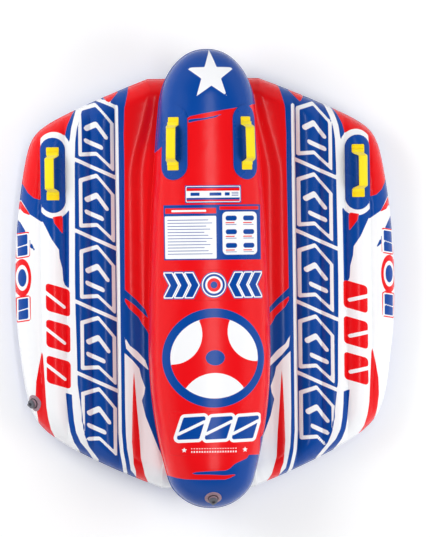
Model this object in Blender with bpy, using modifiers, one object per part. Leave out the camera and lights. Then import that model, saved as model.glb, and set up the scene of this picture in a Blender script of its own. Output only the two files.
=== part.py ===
"""Two-rider towable tube: a lobed inflatable deck with a raised centre tube welded on top, four webbing
grab handles, two inflation valves and a tow point under the nose.

Metres.  +X is the right side, +Y the towing direction, +Z up.  The deck's lowest lobes lie on Z = 0.
"""

import math

import bmesh
import bpy
import numpy as np
from mathutils import Matrix, Vector

# ---------------------------------------------------------------- driving sizes
# Deck: the flat lobed chamber that the riders lie on
DECK_FRONT_Y = 0.810
DECK_REAR_Y = -0.847
DECK_HALF_WIDTH = 0.769
WIDEST_Y = -0.020
SIDE_BOW = 0.18            # how fast the sides draw in, per metre squared
FRONT_HALF_WIDTH = 0.29259 * DECK_HALF_WIDTH   # half of the short straight edge at the front
FRONT_FLARE = 3.38101 * DECK_HALF_WIDTH        # how fast the outline widens behind the front edge
FRONT_CURVE = 2.08062 * DECK_HALF_WIDTH
REAR_HALF_WIDTH = 0.23407 * DECK_HALF_WIDTH
REAR_FLARE = 3.38101 * DECK_HALF_WIDTH
REAR_CURVE = 3.12094 * DECK_HALF_WIDTH
CORNER_SHARPNESS = 16      # power of the blend between the outline's edges

DECK_HALF_THICK = 0.095    # seam to the top of a lobe
GROUND_FLAT = 0.001        # how far a lobe is pressed flat where it lies on the ground
LOBES = 13
LOBE_RADIUS = 0.080
EDGE_TUBE = 0.097          # width of the round roll outside the last baffle

# Centre tube: the raised chamber along the middle
TUBE_NOSE_Y = 0.925
TUBE_TAIL_Y = -0.925
TUBE_HALF_WIDTH = 0.244
TUBE_WIDEST_Y = -0.290
TUBE_TAPER_FRONT = 0.051
TUBE_TAPER_REAR = 0.27
NOSE_ROUND = 0.230         # length of the rounded nose in plan
TAIL_ROUND = 0.120
NOSE_SLOPE = 0.250         # length over which the nose rises to full height
TAIL_SLOPE = 0.200
PLAN_POWER = 2.2
SECTION_POWER = 2.4
TUBE_RISE = 0.170          # seam to crown
TUBE_DROP = 0.098          # seam to the flat that is welded to the deck
TUBE_SQUASH = 1.5          # how much of the underside is pressed flat

SKIN = 0.0008              # welded vinyl sheet
GAP = 0.0003               # clearance between neighbours
SEAM_GAP = 0.0005          # each skin stops this far from the seam's middle plane
BOND = 0.0016              # room between the deck's crests and the tube for the joining panel

BAFFLE_FLANGE = 0.016
BAFFLE_END_ROOM = 0.100    # air passes round each end of a baffle
BAFFLE_FULL_SHARE = 0.985  # a baffle runs only where the deck has this share of its height

JOINING_FRONT_HALF = 0.140
JOINING_REAR_HALF = 0.195

# Handles
OUTER_HANDLE_Y = 0.4305
OUTER_PAD_Y = 0.425
OUTER_PAD_HALF_WIDTH = 0.0487
OUTER_LEAN = 20            # degrees, outwards from the surface's normal
CENTRE_HANDLE_X = 0.1465
CENTRE_HANDLE_Y = 0.5440
CENTRE_PAD_Y = 0.5485
CENTRE_PAD_HALF_WIDTH = 0.060
CENTRE_LEAN = -17
PAD_HALF_LENGTH = 0.151
PAD_LIFT = 0.0022
PAD_THICK = 0.0008
TAB_SPACING = 0.090        # middle of the handle to the middle of each welded tab
TAB_WIDTH = 0.050
TAB_LENGTH = 0.034
TAB_THICK = 0.0020
STRAP_WIDTH = 0.038
STRAP_FOOT_WIDTH = 0.050
STRAP_THICK = 0.0026
STRAP_HEIGHT = 0.050
GRIP_LENGTH = 0.118
CORE_WIDTH = 0.030
CORE_THICK = 0.010

# Valves
DECK_VALVE_Y = -0.497
DECK_VALVE_TILT = 54       # degrees from vertical
TUBE_VALVE_Y = -0.885
FLANGE_RADIUS = 0.034
FLANGE_THICK = 0.0010
FLANGE_FACET = 0.0165       # width of the skin's facets that the flange has to clear
FLANGE_ROOT_RADIUS = 0.0225    # where the flange starts to thicken into the socket
SOCKET_FILLET = 0.0012
SOCKET_FILLET_TOP = 0.0042
SOCKET_RADIUS = 0.0165
SOCKET_WALL = 0.0025
SOCKET_TOP = 0.0090
SOCKET_DEPTH = 0.0140
THREAD_CLEARANCE = 0.0004
SEAT_RADIUS = 0.0090
FLAP_THICK = 0.0009
CAP_RADIUS = 0.0175
CAP_HEIGHT = 0.0085
CAP_PLUG = 0.0020          # tapered plug under the cap
CAP_HINGE_OUT = 0.0240
CAP_HINGE_UP = 0.0046
TETHER_WIDTH = 0.010
TETHER_THICK = 0.0014

# Tow point
PATCH_HALF_WIDTH = 0.090
PATCH_LIFT = 0.0020
PATCH_THICK = 0.0022
PATCH_REACH = 62           # degrees above and below the seam
TOW_STRAP_WIDTH = 0.050
TOW_PIN_RADIUS = 0.0050
TOW_PIN_LENGTH = 0.066
TOW_PIN_OUT = 0.026        # pin's centre in front of the patch
WEBBING = 0.0024
LINK_THICK = 0.014
LINK_WIDTH = 0.030
LINK_LENGTH = 0.048        # pin hole to rope eye
EYE_RADIUS = 0.0085

ROUND_STEPS = 20

# ---------------------------------------------------------------- sizes that follow
SEAM_Z = DECK_HALF_THICK - GROUND_FLAT
CREASE_X = DECK_HALF_WIDTH - EDGE_TUBE
PITCH = 2 * CREASE_X / LOBES
CREASE_HEIGHT = DECK_HALF_THICK - LOBE_RADIUS + math.sqrt(LOBE_RADIUS**2 - (PITCH / 2) ** 2)
ROLL_RADIUS = (EDGE_TUBE**2 + CREASE_HEIGHT**2) / (2 * EDGE_TUBE)
DECK_TOP_Z = SEAM_Z + DECK_HALF_THICK
TUBE_FLAT_Z = DECK_TOP_Z + BOND + SKIN
TUBE_SEAM_Z = TUBE_FLAT_Z + TUBE_DROP
OUTER_HANDLE_X = CREASE_X - PITCH / 2
TAB_LIFT = PAD_LIFT + PAD_THICK + 2 * GAP
FOOT_HEIGHT = TAB_LIFT + TAB_THICK + STRAP_THICK / 2 + 2 * GAP

PARTS = "towable_tube"
CUTTERS = "cutters"

COLOURS = {
    "red_vinyl": ((0.84, 0.012, 0.018, 1), 0.28, 0.0),
    "blue_vinyl": ((0.004, 0.085, 0.36, 1), 0.28, 0.0),
    "white_vinyl": ((0.88, 0.88, 0.90, 1), 0.30, 0.0),
    "clear_vinyl": ((0.62, 0.63, 0.66, 1), 0.45, 0.0),
    "yellow_webbing": ((0.95, 0.80, 0.01, 1), 0.75, 0.0),
    "orange_vinyl": ((0.93, 0.52, 0.01, 1), 0.45, 0.0),
    "foam": ((0.10, 0.10, 0.11, 1), 0.90, 0.0),
    "grey_plastic": ((0.16, 0.17, 0.18, 1), 0.40, 0.0),
    "black_webbing": ((0.02, 0.02, 0.022, 1), 0.80, 0.0),
    "black_rubber": ((0.03, 0.03, 0.03, 1), 0.60, 0.0),
    "steel": ((0.62, 0.62, 0.63, 1), 0.25, 1.0),
}


# ---------------------------------------------------------------- scene, collections, materials
def clear_scene():
    """Remove every object, mesh, curve, material and collection that is already there."""
    for thing in list(bpy.data.objects):
        bpy.data.objects.remove(thing, do_unlink=True)
    for group in (bpy.data.meshes, bpy.data.curves, bpy.data.materials, bpy.data.collections):
        for thing in list(group):
            group.remove(thing)


def collection(name):
    """The named collection, made and linked when it is first asked for."""
    found = bpy.data.collections.get(name)
    if found is None:
        found = bpy.data.collections.new(name)
        bpy.context.scene.collection.children.link(found)
    return found


def material(owner, finish):
    """Principled material for one node, in the colour, roughness and metal value of its finish."""
    colour, roughness, metallic = COLOURS[finish]
    made = bpy.data.materials.new(owner)
    made.use_nodes = True
    shader = made.node_tree.nodes["Principled BSDF"]
    shader.inputs["Base Color"].default_value = colour
    shader.inputs["Roughness"].default_value = roughness
    shader.inputs["Metallic"].default_value = metallic
    made.diffuse_color = colour
    return made


def part(name, mesh, finish, matrix=None):
    """Put a mesh in the parts collection as one named node with its own material."""
    node = bpy.data.objects.new(name, mesh)
    collection(PARTS).objects.link(node)
    mesh.materials.clear()
    mesh.materials.append(material(name, finish))
    mesh.shade_smooth()
    mesh.set_sharp_from_angle(angle=math.radians(35))
    if matrix is not None:
        node.matrix_world = matrix
    return node


def cutter(name, mesh, matrix):
    """Put a mesh in the cutters collection, hidden from the render."""
    tool = bpy.data.objects.new(name, mesh)
    collection(CUTTERS).objects.link(tool)
    tool.hide_render = True
    tool.display_type = "WIRE"
    tool.matrix_world = matrix
    return tool


def cut(node, tool):
    """Take the cutter's volume out of the node."""
    boolean = node.modifiers.new(tool.name, "BOOLEAN")
    boolean.operation = "DIFFERENCE"
    boolean.solver = "EXACT"
    boolean.object = tool


def thicken(node, thickness, offset):
    """Give an open surface its thickness: offset -1 grows inwards, +1 outwards, 0 both ways."""
    solid = node.modifiers.new("thickness", "SOLIDIFY")
    solid.thickness = thickness
    solid.offset = offset
    solid.use_even_offset = False


# ---------------------------------------------------------------- meshes
def mapped_grid(name, points, flip=False, wrap=False):
    """A grid of quads whose corner (i, j) is moved to points[i, j]; edges that meet are merged."""
    across, along = points.shape[0] - 1, points.shape[1] - 1
    bm = bmesh.new()
    bmesh.ops.create_grid(bm, x_segments=across, y_segments=along, size=1.0)
    for vert in bm.verts:
        i = round((vert.co.x + 1) / 2 * across)
        j = round((vert.co.y + 1) / 2 * along)
        vert.co = points[i, j]
    bmesh.ops.remove_doubles(bm, verts=bm.verts, dist=1e-6)
    if wrap:
        bmesh.ops.recalc_face_normals(bm, faces=bm.faces)
    elif flip:
        bmesh.ops.reverse_faces(bm, faces=bm.faces)
    mesh = bpy.data.meshes.new(name)
    bm.to_mesh(mesh)
    bm.free()
    return mesh


def extruded_outline(name, outline, depth):
    """A flat outline in the XY plane, extruded both ways along Z to the given depth."""
    bm = bmesh.new()
    verts = [bm.verts.new((x, y, -depth / 2)) for x, y in outline]
    face = bm.faces.new(verts)
    grown = bmesh.ops.extrude_face_region(bm, geom=[face])
    moved = [item for item in grown["geom"] if isinstance(item, bmesh.types.BMVert)]
    bmesh.ops.translate(bm, verts=moved, vec=(0, 0, depth))
    bmesh.ops.recalc_face_normals(bm, faces=bm.faces)
    mesh = bpy.data.meshes.new(name)
    bm.to_mesh(mesh)
    bm.free()
    return mesh


def cylinder(name, radius, depth, segments=ROUND_STEPS):
    """A capped cylinder centred on its own origin, along Z."""
    bm = bmesh.new()
    bmesh.ops.create_cone(
        bm, cap_ends=True, segments=segments, radius1=radius, radius2=radius, depth=depth
    )
    mesh = bpy.data.meshes.new(name)
    bm.to_mesh(mesh)
    bm.free()
    return mesh


def turned(name, profile, finish, matrix):
    """A profile of (radius, height) points, top to bottom down its outer side, turned about Z."""
    mesh = bpy.data.meshes.new(name)
    verts = [(radius, 0, height) for radius, height in profile]
    closed = profile[0][0] > 0
    edges = [(i, i + 1) for i in range(len(verts) - 1)]
    if closed:
        edges.append((len(verts) - 1, 0))
    mesh.from_pydata(verts, edges, [])
    node = part(name, mesh, finish, matrix)
    screw = node.modifiers.new("turn", "SCREW")
    screw.steps = ROUND_STEPS
    screw.render_steps = ROUND_STEPS
    screw.use_merge_vertices = True
    screw.merge_threshold = 0.00001
    screw.use_smooth_shade = True
    return node


# ---------------------------------------------------------------- the deck's shape
def deck_half_width(y):
    """Half-width of the deck at y: front edge, bowed side and rear edge, blended at the corners."""
    behind_front = np.clip(DECK_FRONT_Y - y, 0, None)
    ahead_of_rear = np.clip(y - DECK_REAR_Y, 0, None)
    front_run = np.minimum(behind_front, FRONT_FLARE / (2 * FRONT_CURVE))
    rear_run = np.minimum(ahead_of_rear, REAR_FLARE / (2 * REAR_CURVE))
    front = FRONT_HALF_WIDTH + FRONT_FLARE * front_run - FRONT_CURVE * front_run**2
    rear = REAR_HALF_WIDTH + REAR_FLARE * rear_run - REAR_CURVE * rear_run**2
    front = front + behind_front - front_run
    rear = rear + ahead_of_rear - rear_run
    side = DECK_HALF_WIDTH - SIDE_BOW * (y - WIDEST_Y) ** 2
    power = CORNER_SHARPNESS
    return (front**-power + side**-power + rear**-power) ** (-1 / power)


def deck_outline(steps=90):
    """Right half of the outline as two runs of points, each from the middle to the widest place."""
    turn = (1 - np.cos(np.linspace(0, math.pi, steps))) / 2
    front_y = DECK_FRONT_Y + (WIDEST_Y - DECK_FRONT_Y) * turn
    rear_y = DECK_REAR_Y + (WIDEST_Y - DECK_REAR_Y) * turn
    front = np.stack([deck_half_width(front_y), front_y], axis=1)
    rear = np.stack([deck_half_width(rear_y), rear_y], axis=1)
    front = np.concatenate([[[0.0, DECK_FRONT_Y]], front])
    rear = np.concatenate([[[0.0, DECK_REAR_Y]], rear])
    return front, rear


def edge_distance(x, y):
    """Shortest way in plan from (x, y) to the deck's outline, nothing outside it."""
    front, rear = deck_outline()
    path = np.concatenate([front, rear[::-1]])
    start, step = path[:-1], path[1:] - path[:-1]
    spot = np.stack([np.abs(x), y], axis=-1)[..., None, :]
    length = np.maximum((step**2).sum(-1), 1e-12)
    share = np.clip(((spot - start) * step).sum(-1) / length, 0, 1)
    near = start + share[..., None] * step
    distance = np.sqrt(((spot - near) ** 2).sum(-1)).min(-1)
    inside = (np.abs(x) < deck_half_width(y)) & (y < DECK_FRONT_Y) & (y > DECK_REAR_Y)
    return np.where(inside, distance, 0.0)


def lobe_height(x):
    """Height of the deck's section above the seam: arcs between the baffles, then the edge roll."""
    spread = np.abs(x)
    from_crest = np.abs((spread / PITCH + 0.5) % 1 - 0.5) * PITCH
    lobes = DECK_HALF_THICK - LOBE_RADIUS + np.sqrt(LOBE_RADIUS**2 - from_crest**2)
    roll_crest = DECK_HALF_WIDTH - ROLL_RADIUS
    short = np.clip(roll_crest - spread, 0, EDGE_TUBE - ROLL_RADIUS)
    roll = np.sqrt(ROLL_RADIUS**2 - short**2)
    return np.where(spread <= CREASE_X, lobes, roll)


def edge_rise(x, y):
    """Share of full height at (x, y): a quarter circle from the seam to one roll radius inside."""
    inset = np.clip(edge_distance(x, y) / ROLL_RADIUS, 0, 1)
    return np.sqrt(1 - (1 - inset) ** 2)


def deck_top(x, y):
    """Height of the deck's upper surface."""
    return SEAM_Z + lobe_height(x) * edge_rise(x, y)


def deck_bottom(x, y):
    """Height of the deck's lower surface, flat on the ground along each lobe."""
    return SEAM_Z - np.minimum(lobe_height(x), SEAM_Z) * edge_rise(x, y)


def edge_insets(steps):
    """Distances in from an edge that climb a quarter circle in equal angles."""
    return ROLL_RADIUS * (1 - np.cos(np.linspace(0, math.pi / 2, steps + 1)))


def deck_grid(lobe_stops, edge_steps, middle_steps, surface):
    """Points of one deck panel: columns run fore and aft along the lobes, and the last few follow
    the side's roll.  Rows step in from the front and rear edges square to the outline."""
    front, rear = deck_outline()
    lobe_middles = (np.arange(LOBES) - (LOBES - 1) / 2) * PITCH
    columns = (lobe_middles[:, None] + np.array(lobe_stops[:-1])[None, :] * PITCH).ravel()
    columns = np.append(columns, CREASE_X)
    insets = edge_insets(edge_steps)

    def rows(x):
        spread = np.abs(x)
        ahead = np.interp(spread, front[:, 0], front[:, 1])
        behind = np.interp(spread, rear[:, 0], rear[:, 1])
        front_slant = np.interp(spread, front[:, 0], np.gradient(front[:, 1], front[:, 0] + 1e-9))
        rear_slant = np.interp(spread, rear[:, 0], np.gradient(rear[:, 1], rear[:, 0] + 1e-9))
        front_step = np.clip(np.sqrt(1 + front_slant**2), 1, 1.7)
        rear_step = np.clip(np.sqrt(1 + rear_slant**2), 1, 1.7)
        last = insets[-1]
        share = np.linspace(0, 1, middle_steps + 1)[1:-1]
        low = behind + rear_step * last
        high = ahead - front_step * last
        return np.concatenate(
            [behind + rear_step * insets, low + (high - low) * share, ahead - front_step * insets[::-1]]
        )

    middle_x = np.array([np.full(rows(x).shape, x) for x in columns])
    middle_y = np.array([rows(x) for x in columns])
    side_y = rows(CREASE_X)
    room = deck_half_width(side_y) - CREASE_X
    room[0] = room[-1] = 0.0
    roll = 1 - edge_insets(edge_steps)[::-1] / EDGE_TUBE
    side_x = CREASE_X + np.clip(room, 0, None)[None, :] * roll[:, None]
    tile_y = np.tile(side_y, (len(roll), 1))
    x = np.concatenate([-side_x[::-1], middle_x, side_x])
    y = np.concatenate([tile_y, middle_y, tile_y])
    return np.stack([x, y, surface(x, y)], axis=-1)


# ---------------------------------------------------------------- the centre tube's shape
def end_round(inset, length, power):
    """Share of full size at a distance from a rounded end."""
    reach = np.clip(inset / length, 0, 1)
    return (1 - (1 - reach) ** power) ** (1 / power)


def tube_half_width(y):
    """Half-width of the centre tube: a long taper each way from its widest place, rounded ends."""
    ahead = np.clip(y - TUBE_WIDEST_Y, 0, None)
    behind = np.clip(TUBE_WIDEST_Y - y, 0, None)
    body = TUBE_HALF_WIDTH - TUBE_TAPER_FRONT * ahead**2 - TUBE_TAPER_REAR * behind**2
    nose = end_round(TUBE_NOSE_Y - y, NOSE_ROUND, PLAN_POWER)
    tail = end_round(y - TUBE_TAIL_Y, TAIL_ROUND, PLAN_POWER)
    return body * nose * tail


def tube_fullness(y):
    """Share of full height along the tube."""
    return end_round(TUBE_NOSE_Y - y, NOSE_SLOPE, 2) * end_round(y - TUBE_TAIL_Y, TAIL_SLOPE, 2)


def tube_top(x, y):
    """Height of the tube's upper surface."""
    share = np.clip(np.abs(x) / np.maximum(tube_half_width(y), 1e-9), 0, 1)
    section = (1 - share**SECTION_POWER) ** (1 / SECTION_POWER)
    return TUBE_SEAM_Z + TUBE_RISE * tube_fullness(y) * section


def tube_bottom(x, y):
    """Height of the tube's lower surface, pressed flat where it is welded to the deck."""
    share = np.clip(np.abs(x) / np.maximum(tube_half_width(y), 1e-9), 0, 1)
    drop = TUBE_SQUASH * TUBE_DROP * tube_fullness(y) * np.sqrt(1 - share**2)
    return TUBE_SEAM_Z - np.minimum(drop, TUBE_DROP)


def tube_grid(across, end_steps, middle_steps, surface):
    """Points of one tube panel: rows crowd towards the rounded ends, columns towards the seam."""
    turn = 1 - np.cos(np.linspace(0, math.pi / 2, end_steps + 1))
    nose = TUBE_NOSE_Y - NOSE_SLOPE * turn
    tail = TUBE_TAIL_Y + TAIL_SLOPE * turn
    middle = np.linspace(tail[-1], nose[-1], middle_steps + 1)[1:-1]
    y = np.concatenate([tail, middle, nose[::-1]])
    lean = np.sin(np.linspace(-math.pi / 2, math.pi / 2, across + 1))
    x = lean[:, None] * tube_half_width(y)[None, :]
    y = np.tile(y, (across + 1, 1))
    return np.stack([x, y, surface(x, y)], axis=-1)


# ---------------------------------------------------------------- seats on the curved skins
def surface_normal(surface, x, y):
    """Unit normal of a height surface at (x, y)."""
    step = 0.001
    slope_x = (surface(np.array(x + step), np.array(y)) - surface(np.array(x - step), np.array(y))) / 2
    slope_y = (surface(np.array(x), np.array(y + step)) - surface(np.array(x), np.array(y - step))) / 2
    return Vector((-float(slope_x) / step, -float(slope_y) / step, 1.0)).normalized()


def seat(surface, x, y, along):
    """A frame on the surface: Z is its normal, Y lies as near as it can to the given direction."""
    normal = surface_normal(surface, x, y)
    forward = (along - normal * along.dot(normal)).normalized()
    across = forward.cross(normal)
    height = float(surface(np.array(x), np.array(y)))
    frame = Matrix((across, forward, normal)).transposed().to_4x4()
    frame.translation = (x, y, height)
    return frame


def draped(surface, frame, across, along, lift):
    """Points over a curved skin: each starts in the frame's flat plane, moves along the frame's
    normal until it meets the skin, and then stands off by lift."""
    matrix = np.array(frame)
    origin, side, forward, normal = matrix[:3, 3], matrix[:3, 0], matrix[:3, 1], matrix[:3, 2]
    flat = origin + across[..., None] * side + along[..., None] * forward
    low = np.full(across.shape, -0.06)
    high = np.full(across.shape, 0.03)
    for _ in range(26):
        middle = (low + high) / 2
        spot = flat + middle[..., None] * normal
        outside = spot[..., 2] > surface(spot[..., 0], spot[..., 1])
        high = np.where(outside, middle, high)
        low = np.where(outside, low, middle)
    return flat + (high + lift)[..., None] * normal


# ---------------------------------------------------------------- inflated skins
def deck_panels():
    """Upper and lower skins of the deck, meeting at the seam round the edge."""
    lobe_stops = (-0.5, -0.25, 0, 0.25, 0.5)
    top = deck_grid(lobe_stops, 3, 7, deck_top)
    top[..., 2] = np.maximum(top[..., 2], SEAM_Z + SEAM_GAP)
    upper = part("deck_top_panel", mapped_grid("deck_top_panel", top), "red_vinyl")
    thicken(upper, SKIN, -1)
    pressed = math.sqrt(LOBE_RADIUS**2 - (LOBE_RADIUS - GROUND_FLAT) ** 2) / PITCH
    bottom = deck_grid((-0.5, -pressed, pressed, 0.5), 3, 5, deck_bottom)
    bottom[..., 2] = np.clip(bottom[..., 2], 0.0, SEAM_Z - SEAM_GAP)
    lower = part("deck_bottom_panel", mapped_grid("deck_bottom_panel", bottom, flip=True), "blue_vinyl")
    thicken(lower, SKIN, -1)
    return upper


def deck_baffles():
    """Upright sheets that tie the two deck skins together at each crease, flanged top and bottom.
    Each stops short of the ends, where the skins close down to the seam and air passes round."""
    reach = CREASE_HEIGHT * BAFFLE_FULL_SHARE - SKIN - 2 * GAP
    web, flange, under = SKIN / 2, BAFFLE_FLANGE / 2, reach - SKIN
    upper_left = [(-flange, reach), (-flange, under), (-web, under)]
    lower_left = [(x, -z) for x, z in reversed(upper_left)]
    right = [(-x, z) for x, z in reversed(upper_left + lower_left)]
    stand = Matrix.Rotation(math.pi / 2, 4, "X")
    stations = np.linspace(DECK_REAR_Y, DECK_FRONT_Y, 400)
    for number in range(LOBES + 1):
        x = (number - LOBES / 2) * PITCH
        full = stations[edge_rise(np.full(stations.shape, x), stations) > BAFFLE_FULL_SHARE]
        ahead, behind = full.max() - BAFFLE_END_ROOM, full.min() + BAFFLE_END_ROOM
        name = f"deck_baffle_{number + 1:02d}"
        mesh = extruded_outline(name, upper_left + lower_left + right, ahead - behind)
        place = Matrix.Translation((x, (ahead + behind) / 2, SEAM_Z)) @ stand
        part(name, mesh, "white_vinyl", place)


def centre_tube_panels():
    """Upper and lower skins of the centre tube."""
    top = tube_grid(22, 5, 9, tube_top)
    top[..., 2] = np.maximum(top[..., 2], TUBE_SEAM_Z + SEAM_GAP)
    upper = part("centre_tube_top_panel", mapped_grid("centre_tube_top_panel", top), "red_vinyl")
    thicken(upper, SKIN, -1)
    bottom = tube_grid(12, 4, 5, tube_bottom)
    bottom[..., 2] = np.minimum(bottom[..., 2], TUBE_SEAM_Z - SEAM_GAP)
    mesh = mapped_grid("centre_tube_bottom_panel", bottom, flip=True)
    lower = part("centre_tube_bottom_panel", mesh, "red_vinyl")
    thicken(lower, SKIN, -1)
    return upper


def joining_panel():
    """Sheet between the tube and the deck that carries the weld, showing each side of the tail."""
    front_y = DECK_FRONT_Y - ROLL_RADIUS / 2
    rear_y = DECK_REAR_Y + GAP
    outline = [
        (-JOINING_REAR_HALF, rear_y),
        (JOINING_REAR_HALF, rear_y),
        (JOINING_FRONT_HALF, front_y),
        (-JOINING_FRONT_HALF, front_y),
    ]
    place = Matrix.Translation((0, 0, DECK_TOP_Z + BOND / 2))
    part("joining_panel", extruded_outline("joining_panel", outline, SKIN), "white_vinyl", place)


# ---------------------------------------------------------------- handles
def capsule_grid(half_width, half_length, across, along):
    """Flat coordinates of a strip with round ends."""
    end = 1 - np.cos(np.linspace(0, math.pi / 2, 4))
    low = -half_length + half_width * end
    middle = np.linspace(low[-1], -low[-1], along + 1)[1:-1]
    b = np.concatenate([low, middle, -low[::-1]])
    room = np.clip((half_length - np.abs(b)) / half_width, 0, 1)
    width = half_width * np.sqrt(1 - (1 - room) ** 2)
    a = np.linspace(-1, 1, across + 1)[:, None] * width[None, :]
    return a, np.tile(b, (across + 1, 1))


def handle(name, surface, frame, pad_frame, pad_half_width, lean):
    """One grab handle: a reinforcing pad, two welded tabs, the strap that arches between them, and
    the foam core that fills the strap's grip.  The grip leans from the surface's normal."""
    a, b = capsule_grid(pad_half_width, PAD_HALF_LENGTH, 6, 8)
    pad_points = draped(surface, pad_frame, a, b, PAD_LIFT)
    pad = part(name + "_pad", mapped_grid(name + "_pad", pad_points), "blue_vinyl")
    thicken(pad, PAD_THICK, 1)

    for end, sign in (("front", 1), ("rear", -1)):
        a, b = np.meshgrid(
            np.linspace(-TAB_WIDTH / 2, TAB_WIDTH / 2, 7),
            sign * TAB_SPACING + np.linspace(-TAB_LENGTH / 2, TAB_LENGTH / 2, 4),
            indexing="ij",
        )
        tab_name = f"{name}_{end}_tab"
        tab_points = draped(surface, frame, a, b, TAB_LIFT)
        tab = part(tab_name, mapped_grid(tab_name, tab_points), "orange_vinyl")
        thicken(tab, TAB_THICK, 1)

    matrix = np.array(frame)
    origin, side, forward, normal = matrix[:3, 3], matrix[:3, 0], matrix[:3, 1], matrix[:3, 2]
    foot_in = TAB_SPACING - TAB_LENGTH * 0.35
    foot_out = TAB_SPACING + TAB_LENGTH * 0.35
    grip_end = GRIP_LENGTH / 2
    climb = np.linspace(0, 1, 7)
    half_b = np.concatenate([[foot_out], foot_in + (grip_end - foot_in) * climb])
    half_n = np.concatenate([[0], (STRAP_HEIGHT - FOOT_HEIGHT) * (1 - np.cos(math.pi * climb)) / 2])
    b = np.concatenate([half_b, -half_b[::-1]])
    n = FOOT_HEIGHT + np.concatenate([half_n, half_n[::-1]])
    raised = (n - FOOT_HEIGHT) / (STRAP_HEIGHT - FOOT_HEIGHT)
    angle = math.radians(lean) * raised
    width = STRAP_FOOT_WIDTH + (STRAP_WIDTH - STRAP_FOOT_WIDTH) * raised
    up = np.cos(angle)[:, None] * normal + np.sin(angle)[:, None] * side
    out = np.cos(angle)[:, None] * side - np.sin(angle)[:, None] * normal
    middle = origin + b[:, None] * forward + n[:, None] * up
    edges = np.stack([middle - out * width[:, None] / 2, middle + out * width[:, None] / 2])
    strap_mesh = mapped_grid(name + "_strap", edges, flip=True)
    strap = part(name + "_strap", strap_mesh, "yellow_webbing")
    thicken(strap, STRAP_THICK, 0)

    core_height = STRAP_HEIGHT - STRAP_THICK / 2 - GAP - CORE_THICK / 2
    bm = bmesh.new()
    bmesh.ops.create_cube(bm, size=1.0)
    bmesh.ops.scale(bm, vec=(CORE_WIDTH, GRIP_LENGTH - 0.004, CORE_THICK), verts=bm.verts)
    core_mesh = bpy.data.meshes.new(name + "_grip_core")
    bm.to_mesh(core_mesh)
    bm.free()
    tilt = Matrix.Rotation(math.radians(lean), 4, "Y")
    place = frame @ tilt @ Matrix.Translation((0, 0, core_height))
    core = part(name + "_grip_core", core_mesh, "foam", place)
    rounding = core.modifiers.new("rounding", "BEVEL")
    rounding.width = CORE_THICK * 0.35
    rounding.segments = 2


def handles():
    """Two outer handles on the deck's last full lobes and two on the centre tube's shoulders."""
    forward = Vector((0, 1, 0))
    for side_name, side in (("left", -1), ("right", 1)):
        x = side * OUTER_HANDLE_X
        frame = seat(deck_top, x, OUTER_HANDLE_Y, forward)
        pad_frame = seat(deck_top, x, OUTER_PAD_Y, forward)
        handle(side_name + "_outer", deck_top, frame, pad_frame, OUTER_PAD_HALF_WIDTH, side * OUTER_LEAN)
        x = side * CENTRE_HANDLE_X
        frame = seat(tube_top, x, CENTRE_HANDLE_Y, forward)
        pad_frame = seat(tube_top, x, CENTRE_PAD_Y, forward)
        handle(side_name + "_centre", tube_top, frame, pad_frame, CENTRE_PAD_HALF_WIDTH, side * CENTRE_LEAN)


# ---------------------------------------------------------------- valves
def valve_base(name, surface, frame):
    """Flexible flange welded over the hole in the skin, with the socket moulded in its middle.
    Each profile point is (radius, height, share of the skin's curve that it follows)."""
    inner = SOCKET_RADIUS - SOCKET_WALL
    lift = GAP + FLANGE_FACET**2 / (8 * ROLL_RADIUS)
    below = SOCKET_RADIUS - FLANGE_THICK
    profile = np.array([
        (FLANGE_RADIUS, lift, 1), (FLANGE_RADIUS, lift + FLANGE_THICK, 1),
        (FLANGE_ROOT_RADIUS, lift + 1.4 * FLANGE_THICK, 1),
        (SOCKET_RADIUS + SOCKET_FILLET, SOCKET_FILLET_TOP, 0.4),
        (SOCKET_RADIUS, SOCKET_TOP, 0), (inner, SOCKET_TOP, 0), (inner, -SOCKET_DEPTH, 0),
        (below, -SOCKET_DEPTH, 0), (below, lift, 0.4), (FLANGE_ROOT_RADIUS, lift, 1), (FLANGE_RADIUS, lift, 1),
    ])
    turn = np.linspace(0, 2 * math.pi, ROUND_STEPS + 1)
    a = profile[:, 0][:, None] * np.cos(turn)[None, :]
    b = profile[:, 0][:, None] * np.sin(turn)[None, :]
    on_skin = draped(surface, frame, a, b, 0.0)
    matrix = np.array(frame)
    origin, side, forward, normal = matrix[:3, 3], matrix[:3, 0], matrix[:3, 1], matrix[:3, 2]
    skin_height = ((on_skin - origin) * normal).sum(-1)
    height = profile[:, 1][:, None] + profile[:, 2][:, None] * skin_height
    points = origin + a[..., None] * side + b[..., None] * forward + height[..., None] * normal
    points[:, -1] = points[:, 0]
    part(name + "_base", mapped_grid(name + "_base", points, wrap=True), "clear_vinyl")


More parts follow.
